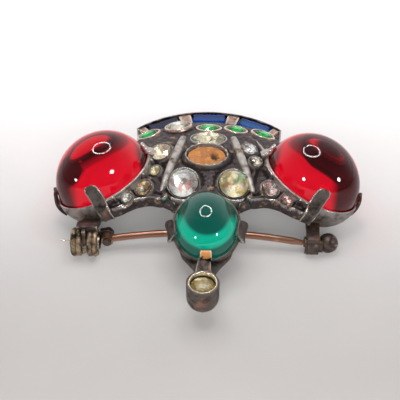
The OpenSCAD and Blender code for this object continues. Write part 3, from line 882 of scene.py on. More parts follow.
def nearest(x, y, line):
    """Distance to a line seen from above, and the line's height there."""
    best, height = np.full(x.shape, 1e9), np.zeros(x.shape)
    for p, q in zip(line, line[1:]):
        t, far = along_straight(x, y, p, q)
        height = np.where(far < best, p[2] + t * (q[2] - p[2]), height)
        best = np.minimum(best, far)
    return best, height


def to_polygon(x, y, corners):
    """Distance to a polygon's edge, negative inside it."""
    best, inside = np.full(x.shape, 1e9), np.zeros(x.shape, bool)
    for p, q in zip(corners, corners[1:] + corners[:1]):
        best = np.minimum(best, along_straight(x, y, p, q)[1])
        if p[1] != q[1]:
            left_of = x < (q[0] - p[0]) * (y - p[1]) / (q[1] - p[1]) + p[0]
            inside ^= ((p[1] > y) != (q[1] > y)) & left_of
    return np.where(inside, -best, best)


square, middle = [[0, 0], [2, 0], [2, 2], [0, 2]], np.array(1.0)
print("distance at the middle of a square of 2:", float(to_polygon(middle, middle, square)))

# %% [markdown]
# Two shapes are joined by taking the smaller of their distances, and cut by taking the larger. A sharp
# choice would leave a crease. A soft one rounds the place where they meet by about the width k, as wax does
# in a model.

# %% Outline of the shell
CROWN_SIDES = [[-10.4, 14.3], [-12, 6.3], [0, -3.7], [12, 6.3], [10.4, 14.3], [11, 22], [-11, 22]]
FRONT_EDGE = [[4.4, -3.45], [6, -2.7], [8, -2.1], [10.5, -2.1], [13, -3.1], [13.5, 0.3], [10.4, 9.3],
              [10.2, 11.3]]
FRONT = FRONT_EDGE + [[-x, y] for x, y in reversed(FRONT_EDGE)]
SHELL_R = 13.1


def soft_max(a, b, k):
    return 0.5 * (a + b + np.sqrt((a - b) ** 2 + k * k))


def soft_min(a, b, k):
    return -soft_max(-a, -b, k)


def shell_edge(x, y):
    """Distance to the shell's outline, negative inside it."""
    crown = soft_max(np.hypot(x, y - BAND_Y) - SHELL_R, to_polygon(x, y, CROWN_SIDES), 0.3)
    return soft_min(crown, to_polygon(x, y, FRONT), 0.3)


print("soft larger of 1 and 1:", soft_max(1, 1, 0.3))


# %% Stones' seats and the grain of a casting
def girdle_plane(stone, x, y):
    """Height of a stone's girdle plane over x, y, and distance outside the stone in millimetres."""
    at, turn = seat(stone)
    n = turn[:, Z]
    z = at[2] - (n[0] * (x - at[0]) + n[1] * (y - at[1])) / n[2]
    local = np.stack([x - at[0], y - at[1], z - at[2]], -1) @ turn
    return z, (np.hypot(local[..., 0] / stone.a, local[..., 1] / stone.b) - 1) * min(stone.a, stone.b)


def cast_noise(x, y, size, seed):
    """Soft random relief between -1 and 1, with bumps about size across."""
    flat = [noise.fractal((u / size, v / size, seed), 0.7, 2.1, 4) for u, v in zip(x.ravel(), y.ravel())]
    return np.clip(np.reshape(flat, x.shape), -1, 1)


print("the oval stone's own middle is", round(float(girdle_plane(OVAL, OVAL.x, OVAL.y)[1]), 2), "outside it")

# %% [markdown]
# The arms that run along the red stones are part of the same casting. Each lies between two lines: the red
# basket's rim, and the crown's front edge. Its height is blended between the two, with a rib along the rim,
# a lip along the front, and a sunk floor between them for the small stones.

# %% Lines of the arms
ARM = [[7.6, 7.3, 7.1], [7.2, 2.9, 7.2], [6.2, -1.0, 7.1], [6.0, -3.1, 6.85], [7.9, -2.85, 6.7],
       [9.9, -3.2, 6.5], [12.3, -4.3, 6], [13.7, -4.4, 5.4]]
RIM_START, RIM_END = -180, -66


def curve(knots, per):
    """A smooth line through the knots, with so many steps between each two."""
    k = np.asarray(knots, float)
    k = np.vstack([2 * k[0] - k[1], k, 2 * k[-1] - k[-2]])
    line = []
    for i in range(1, len(k) - 2):
        p0, p1, p2, p3 = k[i - 1:i + 3]
        for t in np.arange(per) / per:
            line.append(0.5 * (2 * p1 + (p2 - p0) * t + (2 * p0 - 5 * p1 + 4 * p2 - p3) * t * t
                               + (3 * p1 - p0 - 3 * p2 + p3) * t ** 3))
    return np.array(line + [k[-2]])


def red_rim(degrees, out, z):
    """A point round the red stone, so far outside its girdle and so high over it."""
    t = math.radians(degrees)
    return RED_AT + RED_TURN @ [(RED_SIZE[0] + out) * math.cos(t), (RED_SIZE[1] + out) * math.sin(t), z]


RIM_LINE = np.array([red_rim(t, 0.4, -0.4) for t in np.linspace(RIM_START, RIM_END, 40)])
EDGE_LINE = curve(ARM, 7)
EDGE_SIDE = unit(np.cross(np.gradient(EDGE_LINE, axis=0), [0, 0, 1]) * [1, 1, 0])
ARM_OUTLINE = [red_rim(t, 0.14, -0.4)[:2].tolist() for t in np.linspace(RIM_START, RIM_END, 30)]
ARM_OUTLINE += (EDGE_LINE + 0.55 * EDGE_SIDE)[::-1, :2].tolist()
print("corners of an arm's outline", len(ARM_OUTLINE))


# %% Height of the arms
def arm_edge(x, y):
    """Distance to the outline of the nearer arm, negative inside it."""
    return to_polygon(np.abs(x), y, ARM_OUTLINE)


def arm_height(x, y):
    """Height of the slope between rim and front edge, and the relief on it."""
    x = np.abs(x)
    from_rim, rim_z = nearest(x, y, RIM_LINE)
    from_edge, edge_z = nearest(x, y, EDGE_LINE)
    share = from_rim / (from_rim + from_edge + 1e-6)
    front = 1 / (1 + np.exp((y + 1.9) / 0.25))
    rib = 0.55 * np.exp(-(from_rim / 0.42) ** 4)
    lip = 0.45 * np.exp(-(from_edge / 0.5) ** 4) * front
    return rim_z * (1 - share) + edge_z * share, 0.06 + rib + lip


def casting_edge(x, y):
    """Distance to the outline of shell and arms together, negative inside it."""
    return soft_min(shell_edge(x, y), arm_edge(x, y), 0.15)


print("arm at 9, -2 is", round(float(arm_height(np.array(9.0), np.array(-2.0))[0]), 2), "high")

# %% [markdown]
# The front starts as the dome and falls away steeply outside the shell. The channel is sunk, the arms are
# laid over it, and two sizes of grain roughen the lot. Then each stone raises a mound and cuts its seat
# into it. At the rim the height rolls off over a quarter circle, because the founder's wax had no sharp
# edge. The back is the same dome a wall's thickness lower, with a thicker skirt along the rim and a hump
# under every stone.

# %% Front and back of the casting
EDGE_R, CHANNEL_HALF, CHANNEL_DEEP = 0.4, 1.0, 0.25
SHELL_T, SKIRT_T, SKIRT_WIDE = 1.2, 1.8, 0.9


def casting_top(x, y):
    """Height of the front."""
    z = dome_z(x, y) - 50 * np.maximum(shell_edge(x, y) + 0.05, 0)
    for side in ("left", "right"):
        line = [(s.x, s.y, 0) for key, s in SIDE.items() if key.startswith(side)]
        z = z - CHANNEL_DEEP / (1 + np.exp((nearest(x, y, line)[0] - CHANNEL_HALF) / 0.12))
    base, relief = arm_height(x, y)
    z = soft_max(z, base + relief - 6 * np.maximum(arm_edge(x, y) - 0.02, 0), 0.1)
    z = z + 0.05 * cast_noise(x, y, 0.9, 3.1) + 0.025 * cast_noise(x, y, 0.3, 7.7)
    for stone in STONES:
        plane, outside = girdle_plane(stone, x, y)
        mound = plane - 0.25 - 1.2 * np.maximum(outside - 0.3, 0) - 9 * np.maximum(outside - 1.2, 0)
        z = soft_max(z, mound, 0.12)
    for stone in STONES:
        plane, outside = girdle_plane(stone, x, y)
        z = soft_min(z, plane - 0.1 + 1.5 * np.maximum(outside - 0.35, 0), 0.05)
        z = np.minimum(z, plane - 0.6 * stone.b + 9 * np.maximum(outside + 0.02, 0))
    inner = np.clip(EDGE_R + casting_edge(x, y), 0, EDGE_R)
    return z - EDGE_R + np.sqrt(np.maximum(EDGE_R ** 2 - inner ** 2, 0))


def casting_under(x, y):
    """Height of the back."""
    skirt = np.where(y < 0, np.interp(np.abs(x), [4.4, 6.5], [SKIRT_T, SHELL_T + 0.1]), SKIRT_T)
    at_rim = np.clip((shell_edge(x, y) + SKIRT_WIDE + 0.1) / 0.2, 0, 1)
    z = dome_z(x, y, SHELL_T + (skirt - SHELL_T) * at_rim)
    z = np.where(shell_edge(x, y) < 0, z, 50)
    z = np.minimum(z, arm_height(x, y)[0] - 1.2 + 8 * np.maximum(arm_edge(x, y), 0))
    for stone in STONES:
        plane, outside = girdle_plane(stone, x, y)
        z = soft_min(z, plane - 0.6 * stone.b - 0.3 + 3 * np.maximum(outside - 0.1, 0), 0.1)
    return z + 0.04 * cast_noise(x, y, 0.8, 1.3)


middle = np.array([0.0]), np.array([1.0])
print("wall in the middle", (casting_top(*middle) - casting_under(*middle)).round(2))

# %% [markdown]
# A plate is made on a square grid, since two height maps are easy to read on one. Cells whose middle is
# inside the outline are kept, and the grid points on their rim slide onto the outline, down the slope of
# its distance. A wall of small rows then joins the front to the back, all the way round.


# %% Cut a grid to an outline
def kept_cells(gx, gy, edge, step):
    """Cells inside the outline. Where two touch at a corner alone, a third is kept to join them."""
    kept = edge(gx[:-1, :-1] + step / 2, gy[:-1, :-1] + step / 2) < 0
    for _ in range(3):
        a, b, c, d = kept[:-1, :-1], kept[:-1, 1:], kept[1:, :-1], kept[1:, 1:]
        cross, back = a & d & ~b & ~c, b & c & ~a & ~d
        b |= cross
        a |= back
    return kept


def pull_to_outline(gx, gy, rim, edge):
    """Slides the rim's points onto the outline."""
    e = 0.01
    for _ in range(5):
        x, y = gx[rim], gy[rim]
        slope_x, slope_y = edge(x + e, y) - edge(x - e, y), edge(x, y + e) - edge(x, y - e)
        length = np.maximum(np.hypot(slope_x, slope_y), 1e-6)
        gx[rim] -= edge(x, y) * slope_x / length
        gy[rim] -= edge(x, y) * slope_y / length


def border(kept, index):
    """Pairs of neighbouring grid points between a kept cell and one that isn't."""
    padded = np.pad(kept, 1)
    across = padded[1:, 1:-1] != padded[:-1, 1:-1]
    upward = padded[1:-1, 1:] != padded[1:-1, :-1]
    return np.concatenate([np.stack([index[:, :-1][across], index[:, 1:][across]], 1),
                           np.stack([index[:-1, :][upward], index[1:, :][upward]], 1)])


one_cell = border(np.array([[True]]), np.arange(4).reshape(2, 2))
print("one cell has", len(one_cell), "border edges")

# %% Cast plate
WALL_ROWS, THINNEST = 8, 0.15


def plate(top, under, edge, low, high, step):
    """A cast plate between two height maps, cut to an outline and walled round its edge."""
    gx, gy = np.meshgrid(np.arange(low[0], high[0], step), np.arange(low[1], high[1], step))
    kept = kept_cells(gx, gy, edge, step)
    used = np.zeros(gx.shape, int)
    for j in (0, 1):
        for i in (0, 1):
            used[j:j + kept.shape[0], i:i + kept.shape[1]] += kept
    rim = (used > 0) & (used < 4)
    pull_to_outline(gx, gy, rim, edge)
    x, y, n = gx[used > 0], gy[used > 0], int((used > 0).sum())
    index = np.full(gx.shape, -1)
    index[used > 0] = np.arange(n)
    z_top = top(x, y)
    z_under = np.minimum(under(x, y), z_top - THINNEST)
    cells = np.stack([index[:-1, :-1][kept], index[:-1, 1:][kept], index[1:, 1:][kept],
                      index[1:, :-1][kept]], 1)
    on_rim = index[rim]
    column = {int(v): 2 * n + k * (WALL_ROWS - 1) for k, v in enumerate(on_rim)}
    share = np.arange(1, WALL_ROWS) / WALL_ROWS
    wall_z = z_top[on_rim][:, None] * (1 - share) + z_under[on_rim][:, None] * share
    wall = np.stack([np.repeat(x[on_rim], WALL_ROWS - 1), np.repeat(y[on_rim], WALL_ROWS - 1),
                     wall_z.ravel()], 1)

    def level(v, k):
        """The point under front point v that is k rows down the wall."""
        if k == 0:
            return v
        return v + n if k == WALL_ROWS else column[v] + k - 1

    faces = cells.tolist() + (cells[:, ::-1] + n).tolist()
    for a, b in border(kept, index).tolist():
        faces += [(level(a, k), level(b, k), level(b, k + 1), level(a, k + 1)) for k in range(WALL_ROWS)]
    return np.concatenate([np.stack([x, y, z_top], 1), np.stack([x, y, z_under], 1), wall]), faces


def cast_piece(name, skin, finish, slot="old_silver", **wear):
    """A metal piece of the crown, its edges and hollows measured."""
    piece = make_piece(name, skin, "crown_frame")
    measure_wear(piece, **wear)
    piece.data.materials.append(finish)
    return piece


GRID_LOW, GRID_HIGH, GRID_STEP = (-15.4, -6), (15.4, 18), 0.14
shell = plate(casting_top, casting_under, casting_edge, GRID_LOW, GRID_HIGH, GRID_STEP)
casting = cast_piece("crown_casting", shell, DARK_SILVER)
print("casting faces", len(casting.data.polygons))

# %% [markdown]
# ## The band
# The band is a turned strip with a tall outer wall and a channel on top. Its section is drawn once, with
# small rounds at the corners, and swept about the band's centre. Between the blue bars the channel is
# bridged by flat rose-gold plates, cut to the same curve.

# %% Turn a section about the band's centre
CORNER_R, BAND_HALF = 0.1, 44


def rounded(corners):
    """Each corner of an outline becomes two points joined by a middle one."""
    out, n = [], len(corners)
    for i in range(n):
        p, c, q = (np.array(corners[(i + k) % n], float) for k in (-1, 0, 1))
        a, b = c + CORNER_R * unit(p - c), c + CORNER_R * unit(q - c)
        out += [a, 0.25 * (a + b) + 0.5 * c, b]
    return np.array(out)


def sector(section, start, end, steps):
    """A section of (radius, height) turned about the band's centre. Angles are from the crown's middle."""
    r, z = rounded(section).T
    return loft([np.stack([r * np.sin(t), BAND_Y + r * np.cos(t), z], 1)
                 for t in np.radians(np.linspace(start, end, steps))])


def join(*skins):
    """Several skins as one."""
    points, faces, start = [], [], 0
    for p, f in skins:
        points.append(p)
        faces += [tuple(i + start for i in face) for face in f]
        start += len(p)
    return np.concatenate(points), faces


print("the band spans", 2 * BAND_HALF, "degrees")

# %% Band
BAND_STEPS = 150
BAND = [[16.2, 0], [16.3, 4.9], [16.1, 5.2], [15.8, 5.1], [15.8, CHANNEL_Z], [13.2, CHANNEL_Z], [13.2, 5.2],
        [12.4, 5.2], [12.4, 3.4], [15.5, 3.4], [15.5, 0]]
BRIDGE = [[15.78, 4.3], [15.78, 5.08], [13.22, 5.12], [13.22, 4.3]]
BRIDGE_ENDS = ((-18.1, -10.9), (10.9, 18.1), (-BAND_HALF + 0.2, -39.9), (39.9, BAND_HALF - 0.2))
LIP = [[16.02, 5.02], [16.02, 5.2], [15.72, 5.2], [15.72, 5.0]]
cast_piece("band", sector(BAND, -BAND_HALF, BAND_HALF, BAND_STEPS), OLD_SILVER)
cast_piece("band_bridges", join(*[sector(BRIDGE, a, b, 14) for a, b in BRIDGE_ENDS]), ROSE_GOLD)
cast_piece("band_lip", sector(LIP, -BAND_HALF + 0.3, BAND_HALF - 0.3, BAND_STEPS), OLD_SILVER,
           hollow_gain=1.0)

# %% [markdown]
# ## Bezels and ridges
# Each small stone stands in a thin ring of metal, a bezel, that is a closed loft in the stone's own place.
# The row above the band kept its rose-gold wash, and the empty setting has a scalloped edge where teeth
# once held its stone. Two leaf-shaped ridges frame the middle; they are swept bars whose section swells and
# thins.

# %% Bezels
STONE_EASE, BEZEL_FOOT = 1.03, -1.05


def bezel(stone, wall, lip=0.14, scallops=0, pointed=0.0, sides=64):
    """A ring round a small stone, in its place. The lip is its height over the girdle."""
    t = around(sides)
    squeeze = 1 - pointed * np.abs(np.cos(t)) ** 3
    wave = 0.5 + 0.5 * np.cos(scallops * t) if scallops else np.zeros(sides)

    def ring(out, z):
        a, b = stone.a * STONE_EASE + out, stone.b * STONE_EASE + out
        height = np.full(sides, z) + 0.12 * wave * (z > -0.2)
        return np.stack([a * np.cos(t), b * np.sin(t) * squeeze, height], 1)

    rings = [ring(0.09, -0.5), ring(0.08, lip - 0.06), ring(0.13, lip), ring(wall - 0.12, lip - 0.02),
             ring(wall - 0.03, lip - 0.12), ring(wall, -0.3), ring(wall + 0.06, BEZEL_FOOT),
             ring(0.12, BEZEL_FOOT)]
    return put(loft(rings, closed=True), *seat(stone))


row_rings = [bezel(stone, wall=0.36 if i == CLEAR_ONE else 0.42, pointed=0.22) for i, stone in ROW.items()]
stone_rings = [bezel(stone, wall=0.24, lip=0.06) for stone in (*SIDE.values(), *ROUND.values())]
cast_piece("row_bezels", join(*row_rings), ROSE_GOLD)
cast_piece("stone_bezels", join(*stone_rings, bezel(OVAL, wall=0.28)), OLD_SILVER)
cast_piece("empty_bezel", bezel(GLUE, wall=0.34, lip=0.16, scallops=16, sides=128), OLD_SILVER, edge_gain=3.5)
print("bezels", len(row_rings) + len(stone_rings) + 2)

# %% Inner ridges
BLADE = np.array([[-1, -0.9], [-1.02, -0.1], [-0.92, 0.55], [-0.7, 0.95], [-0.3, 1.1], [0.15, 1.08],
                  [0.6, 0.9], [0.9, 0.5], [1.02, -0.1], [1, -0.9]])
# Knots of x, y and half width.
RIDGE = [[3.72, 9.85, 0.3], [3.8, 9.3, 0.5], [4.7, 4.9, 0.66], [5.6, 1.4, 0.56], [6.3, -1.5, 0.34],
         [6.45, -2.1, 0.16]]
STRIP = [[7.2, 9.8, 0.12], [8.1, 7.3, 0.24], [9.0, 5.0, 0.27], [9.7, 3.2, 0.2]]


def sweep(line, sections, outward):
    """A bar along a line. A section is a list of (across, out) points; outward gives its upper side."""
    forward = unit(np.gradient(line, axis=0))
    out = unit(outward - (outward * forward).sum(1, keepdims=True) * forward)
    across = np.cross(forward, out)
    return loft([p + np.outer(s[:, 0], a) + np.outer(s[:, 1], o)
                 for p, s, a, o in zip(line, sections, across, out)])


def ridge(knots):
    """A blade along the knots, laid on the dome."""
    line = curve(knots, 14)
    sizes = line[:, 2].copy()
    line[:, 2] = dome_z(line[:, 0], line[:, 1]) + 0.1
    taper = np.clip(np.arange(len(line)) / 9, 0.35, 1) ** 0.5
    sections = [BLADE * (size * thin) for size, thin in zip(sizes, taper)]
    return sweep(line, sections, np.tile([0.18, 0, 1.0], (len(line), 1)))


for name, skin in (("ridge_right", ridge(RIDGE)), ("ridge_left", on_side(ridge(RIDGE), -1)),
                   ("strip_right", ridge(STRIP))):
    cast_piece(name, skin, BRIGHT_SILVER, edge_gain=3.0)

# %% [markdown]
# A rib runs along each red stone's rim, and a lip along the front of each arm. Both were soldered or chased
# as narrow bars, so they are sweeps too, thinned where they run out.

# %% Ribs and lips of the arms
RIB = np.array([[-1, -1.2], [-1, -0.2], [-0.75, 0.45], [-0.3, 0.85], [0.2, 0.95], [0.7, 0.6], [1, -0.1],
                [1, -1.2]])
RIB_POINTS = 90


def rib():
    """The bar along the red stone's rim, a little uneven as by hand."""
    line = np.array([red_rim(t, 0.36, 0.02) for t in np.linspace(-184, -64, RIB_POINTS)])
    size = 0.16 + 0.03 * np.sin(np.linspace(0, 9, RIB_POINTS))
    size[:4] *= [0.3, 0.6, 0.8, 0.95]
    up = np.tile(RED_TURN @ [0, 0, 1] + [0, -0.25, 0], (RIB_POINTS, 1))
    return sweep(line, [RIB * [0.8 * k, 1.3 * k] for k in size], up)


def front_lip():
    """The bar along the arm's front edge."""
    line = curve([[5.1, -3.5, 6.5]] + ARM[3:], 12)
    line += [0, -0.1, 0.3]
    size = np.interp(np.arange(len(line)), [0, 6, len(line) - 1], [0.1, 0.2, 0.24])
    return sweep(line, [RIB * [k, 0.8 * k] for k in size], np.tile([0.0, -0.35, 1], (len(line), 1)))


for side, name in ((1, "right"), (-1, "left")):
    cast_piece(f"rib_{name}", on_side(rib(), side), BRIGHT_SILVER, edge_gain=2.5)
    cast_piece(f"front_lip_{name}", on_side(front_lip(), side), DARK_SILVER, edge_gain=3.0)

# %% [markdown]
# ## Baskets and claws
# Each domed stone sits in an open-backed basket, a cup with no bottom, which spares metal and weight. A
# basket is a closed loft: down the outside, round the foot and up the inside to the stone's ledge. Its
# lining is cleaner than its outside, because the stone keeps dirt and fingers out, and it is painted lighter
# still, as painted light for what the dome gathers onto it. Flat claws, bent over
# the girdle, hold the stone; they are swept tabs with raised edges, and the file has rounded their ends.

# %% Baskets
BASKET_SIDES, LINING_ROWS = 120, range(10, 15)


def basket(size, depth, opening, taper):
    """A cup round a domed stone. Its foot is narrower than its rim by taper on the long side."""
    a, b, _ = size
    seat_z, foot_a, foot_b = -0.5 - GAP, a - taper, b - taper + 0.2

    def wall(share, z, more=0.0):
        return a + 0.4 + share * (foot_a - a - 0.4) + more, b + 0.4 + share * (foot_b - b - 0.4) + more, z

    rings = [wall(0, 0.1, -0.3), wall(0, 0.18, -0.22), wall(0, 0.14, -0.08), wall(0, 0.0), wall(0, -0.9),
             wall(0.12, -0.36 * depth, 0.05), wall(0.3, -0.55 * depth, 0.1), wall(0.6, -0.76 * depth, 0.12),
             wall(0.9, -0.95 * depth), wall(1, -depth, -0.12),
             (a - opening + 0.12, b - opening + 0.12, -depth),
             (a - opening, b - opening, -depth + 0.15), (a - opening, b - opening, seat_z - 0.2),
             (a - opening + 0.15, b - opening + 0.15, seat_z), (0.95 * a + 0.1, 0.95 * b + 0.1, seat_z),
             (a + 0.08, b + 0.08, -0.05)]
    return loft([oval_ring(x, y, z, BASKET_SIDES) for x, y, z in rings], closed=True)


red_cup = basket(RED_SIZE, depth=4.2, opening=2.4, taper=1.1)
green_cup = basket(GREEN_SIZE, depth=2.8, opening=2.2, taper=1.5)
# Each lining is painted lighter than its outside: cleaner metal, and painted light for what the dome gathers
# onto it.
for name, skin, outside, lining, gain in (
        ("left", by_red(red_cup, -1), OLD_SILVER, BRIGHT_SILVER, 4.0),
        ("right", by_red(red_cup, 1), OLD_SILVER, BRIGHT_SILVER, 4.0),
        ("green", by_green(green_cup), STAINED_SILVER, CLEAN_AND_PAINTED_LIGHT_SILVER, 2.5)):
    cup = cast_piece(f"basket_{name}", skin, outside, edge_gain=gain)
    cup.data.materials.append(lining)
    for face in cup.data.polygons:
        face.material_index = int(face.index // BASKET_SIDES in LINING_ROWS)
print("basket faces", len(cup.data.polygons), "of them lining", BASKET_SIDES * len(LINING_ROWS))


# %% Claw tools
def on_dome(size, degrees, rise, lift):
    """A point lifted off a domed stone, and the way out there. Rise is the angle above the girdle."""
    a, b, h = size
    t, u = math.radians(degrees), math.radians(rise)
    p = np.array([a * math.cos(t) * math.cos(u), b * math.sin(t) * math.cos(u), h * math.sin(u)])
    out = unit(p / np.array([a * a, b * b, h * h]))
    return p + lift * out, out


def beside(size, degrees, out, z, lean=0.0):
    """A point outside the girdle, and the way out there, which may lean upwards."""
    t = math.radians(degrees)
    return (np.array([(size[0] + out) * math.cos(t), (size[1] + out) * math.sin(t), z]),
            unit(np.array([math.cos(t), math.sin(t), lean])))


def bench(at, turn, p, way):
    """A point on the brooch and a way there, brought back to the bench where its stone is shaped."""
    return turn.T @ (np.array(p) - at), turn.T @ np.array(way)


TAB = np.array([[-1, -1], [1, -1], [1.02, 0.5], [0.94, 1.0], [0.8, 0.98], [0.62, 0.72], [0.25, 0.6],
                [-0.25, 0.6], [-0.62, 0.72], [-0.8, 0.98], [-0.94, 1.0], [-1.02, 0.5]])


def claw(stops, widths, thick=0.5):
    """A tab with raised edges through the stops, each a point and the way out there."""
    line, ways = curve([p for p, _ in stops], 7), curve([way for _, way in stops], 7)
    n = len(line)
    wide = 0.5 * np.interp(np.linspace(0, 1, n), np.linspace(0, 1, len(widths)), widths)
    deep = 0.5 * thick * np.interp(np.arange(n), [0, n - 4, n - 2, n - 1], [1.15, 1, 0.85, 0.6])
    wide[-1] *= 0.86
    wide[-2] *= 0.96
    return sweep(line, [TAB * [a, b] for a, b in zip(wide, deep)], ways)


print("a claw's section has", len(TAB), "points")

# %% Claws of the red stones
lower_claw = claw([bench(RED_AT, RED_TURN, [13.45, -4.85, 4.5], [0, -1, 0.1]),
                   bench(RED_AT, RED_TURN, [14.0, -4.95, 5.7], [0.1, -1, 0.2]),
                   beside(RED_SIZE, -67, 0.7, -0.4), on_dome(RED_SIZE, -66, 7, 0.42),
                   on_dome(RED_SIZE, -65, 14, 0.33), on_dome(RED_SIZE, -63, 21, 0.27),
                   on_dome(RED_SIZE, -62.5, 24, 0.12)], [1.6, 1.8, 1.95, 1.95, 1.85, 0.9])
inner_claw = claw([beside(RED_SIZE, 195, 1.1, -0.3, lean=1.6), beside(RED_SIZE, 193, 0.75, 0.1, lean=1.6),
                   beside(RED_SIZE, 191, 0.42, 0.45, lean=1.6), on_dome(RED_SIZE, 189, 6, 0.32),
                   on_dome(RED_SIZE, 187, 13, 0.25)], [1.2, 1.45, 1.6, 1.5])


def outer_claw(foot, out, widths):
    """The claw at the outer end, from its foot on the basket up over the girdle."""
    return claw([beside(RED_SIZE, 13, 0.2, foot), beside(RED_SIZE, 14, out, 0.55 * foot),
                 beside(RED_SIZE, 15, out + 0.1, -0.2), on_dome(RED_SIZE, 15, 7, 0.4),
                 on_dome(RED_SIZE, 15, 15, 0.27)], widths)


for side, name, outer in ((-1, "left", outer_claw(-2.4, 0.6, [1.2, 1.5, 1.5, 1.4])),
                          (1, "right", outer_claw(-1.6, 0.38, [0.9, 1.2, 1.2, 1.0]))):
    cast_piece(f"lower_claw_{name}", by_red(lower_claw, side), STAINED_SILVER, edge_gain=6.0, hollow_gain=1.5)
    cast_piece(f"inner_claw_{name}", by_red(inner_claw, side), BRIGHT_SILVER, edge_gain=4.0, hollow_gain=1.0)
    cast_piece(f"outer_claw_{name}", by_red(outer, side), DARK_SILVER, edge_gain=2.0, hollow_gain=1.0)

# %% [markdown]
# The green stone has an ear-shaped claw on each side and a long strap in front, whose end has worn through
# to copper. The copper is a second finish on the faces near that end.


# %% Claws of the green stone
def ear_claw(degrees):
    return claw([beside(GREEN_SIZE, degrees, 0.1, -1.9), beside(GREEN_SIZE, degrees, 0.6, -1.4),
                 beside(GREEN_SIZE, degrees, 0.85, -0.8), beside(GREEN_SIZE, degrees, 0.9, -0.1),
                 beside(GREEN_SIZE, degrees, 0.65, 0.6), on_dome(GREEN_SIZE, degrees, 15, 0.3),
                 on_dome(GREEN_SIZE, degrees, 21, 0.25)], [0.8, 1.8, 2.6, 2.9, 2.5, 1.6], 0.55)


front_claw = claw([bench(GREEN_AT, GREEN_TURN, [-0.3, -15.7, 4.9], [0, -0.2, 1]),
                   bench(GREEN_AT, GREEN_TURN, [-0.27, -14.4, 4.85], [0, -0.2, 1]),
                   bench(GREEN_AT, GREEN_TURN, [-0.2, -13.2, 4.95], [0, -0.4, 1]),
                   on_dome(GREEN_SIZE, -90, 10, 0.4), on_dome(GREEN_SIZE, -90, 17, 0.3),
                   on_dome(GREEN_SIZE, -90, 26, 0.25)], [2.2, 1.9, 1.6, 1.5, 1.5])
cast_piece("ear_claws", by_green(join(ear_claw(-10), ear_claw(190))), STAINED_SILVER, edge_gain=3.5,
           hollow_gain=1.0)
strap = cast_piece("front_claw", by_green(front_claw), STAINED_SILVER, edge_gain=5.0, hollow_gain=1.5)
strap.data.materials.append(COPPER_TIP)
worn_end = Vector((GREEN_AT + GREEN_TURN @ on_dome(GREEN_SIZE, -90, 22, 0.3)[0]) * MM)
for face in strap.data.polygons:
    face.material_index = int((face.center - worn_end).length < 0.9 * MM)

# %% [markdown]
# ## Finial and neck
# In front of the green stone a stalk, the neck, narrows from the basket to a short tube with a round end,
# and the tube holds the last stone. The tube's wall is thin, and its lip still shows gold. Tube and lip are
# turned shapes, so each is a loft of circles, from the outside over the lip to the seat within. The neck is
# a loft of ovals that grow narrower and taller towards the tube.

# %% Finial
TUBE_SIDES, BALL_Z = 72, 3.65
bore = FINIAL_R - FINIAL_WALL


def turned(profile, closed=False):
    """A turned shape round the finial's axis, from a profile of radius and height."""
    return loft([oval_ring(r, r, z, TUBE_SIDES) + [*FINIAL_AT, 0] for r, z in profile], closed)


ball = [(FINIAL_R * math.cos(u), BALL_Z + FINIAL_R * math.sin(u))
        for u in np.radians([-89, -75, -60, -45, -30, -15, 0])]
tube = ball + [(FINIAL_R, 4.4), (FINIAL_R, 5.2), (FINIAL_R, 6.05), (FINIAL_R - 0.08, 6.17), (2.0, FINIAL_TOP),
               (bore + 0.06, 6.14), (bore, 6.0), (bore, 4.3), (bore - 0.2, 4.2), (0.05, 4.2)]
cast_piece("finial_tube", turned(tube), STAINED_SILVER, edge_gain=3.0)
gold_edge = [(bore + 0.02, 5.4), (bore - 0.05, 5.75), (bore - 0.03, 6.08), (bore + 0.05, FINIAL_TOP),
             (bore + 0.12, 6.19), (bore + 0.11, 6.1), (bore + 0.04, 5.95), (bore + 0.06, 5.4)]
cast_piece("finial_edge", turned(gold_edge, closed=True), OLD_BRASS, slot="old_brass")
print("finial bore", round(2 * bore, 2))

# %% Neck
NECK_SIDES = 48
# Rows of y, z, half width and half height, on the green stone's bench.
STALK = [[-2.6, -2.1, 3.75, 0.55], [-3.9, -1.9, 3.3, 0.7], [-4.9, -1.5, 2.6, 0.85], [-6.2, -0.7, 1.75, 0.95],
         [-7.4, 0.2, 1.3, 1.05], [-8.6, 1.0, 1.2, 1.15]]
neck = loft([[[wide * math.cos(a), y, z + tall * math.sin(a)] for a in around(NECK_SIDES)]
             for y, z, wide, tall in curve(STALK, 8)])
cast_piece("neck", by_green(neck), STAINED_SILVER)
print("neck narrows from", 2 * STALK[0][2], "to", 2 * STALK[-1][2])

# %% [markdown]
# ## Blocks with soft edges
# Small parts behind the crown were filed from thick sheet. Each can be stated by a few corners: the convex
# hull of those points is the block, and a bevel takes its edges off as a file does. Long edges are then cut
# into steps, so that the wear has vertices to be measured on. Blender lists a hull's faces in a new order on
# each run, so they are sorted at the end.


# %% Blocks
def hull_block(points, bevel):
    """The solid that wraps the points, with its edges rounded off and its faces always in one order."""
    bm = bmesh.new()
    for p in points:
        bm.verts.new(p)
    hull = bmesh.ops.convex_hull(bm, input=bm.verts)
    spare = {v for v in hull["geom_interior"] + hull["geom_unused"] if isinstance(v, bmesh.types.BMVert)}
    bmesh.ops.delete(bm, geom=list(spare), context="VERTS")
    bmesh.ops.dissolve_limit(bm, angle_limit=0.03, verts=bm.verts, edges=bm.edges)
    bmesh.ops.bevel(bm, geom=[e for e in bm.edges if e.calc_face_angle(0) > 0.4], offset=bevel, segments=3,
                    profile=0.5, affect="EDGES")
    long_edges = [e for e in bm.edges if e.calc_length() > 0.5]
    bmesh.ops.subdivide_edges(bm, edges=long_edges, cuts=3, use_grid_fill=True)
    bmesh.ops.triangulate(bm, faces=[f for f in bm.faces if len(f.verts) > 4])
    bm.verts.index_update()
    skin = np.array([v.co[:] for v in bm.verts]), sorted(tuple(v.index for v in f.verts) for f in bm.faces)
    bm.free()
    return skin


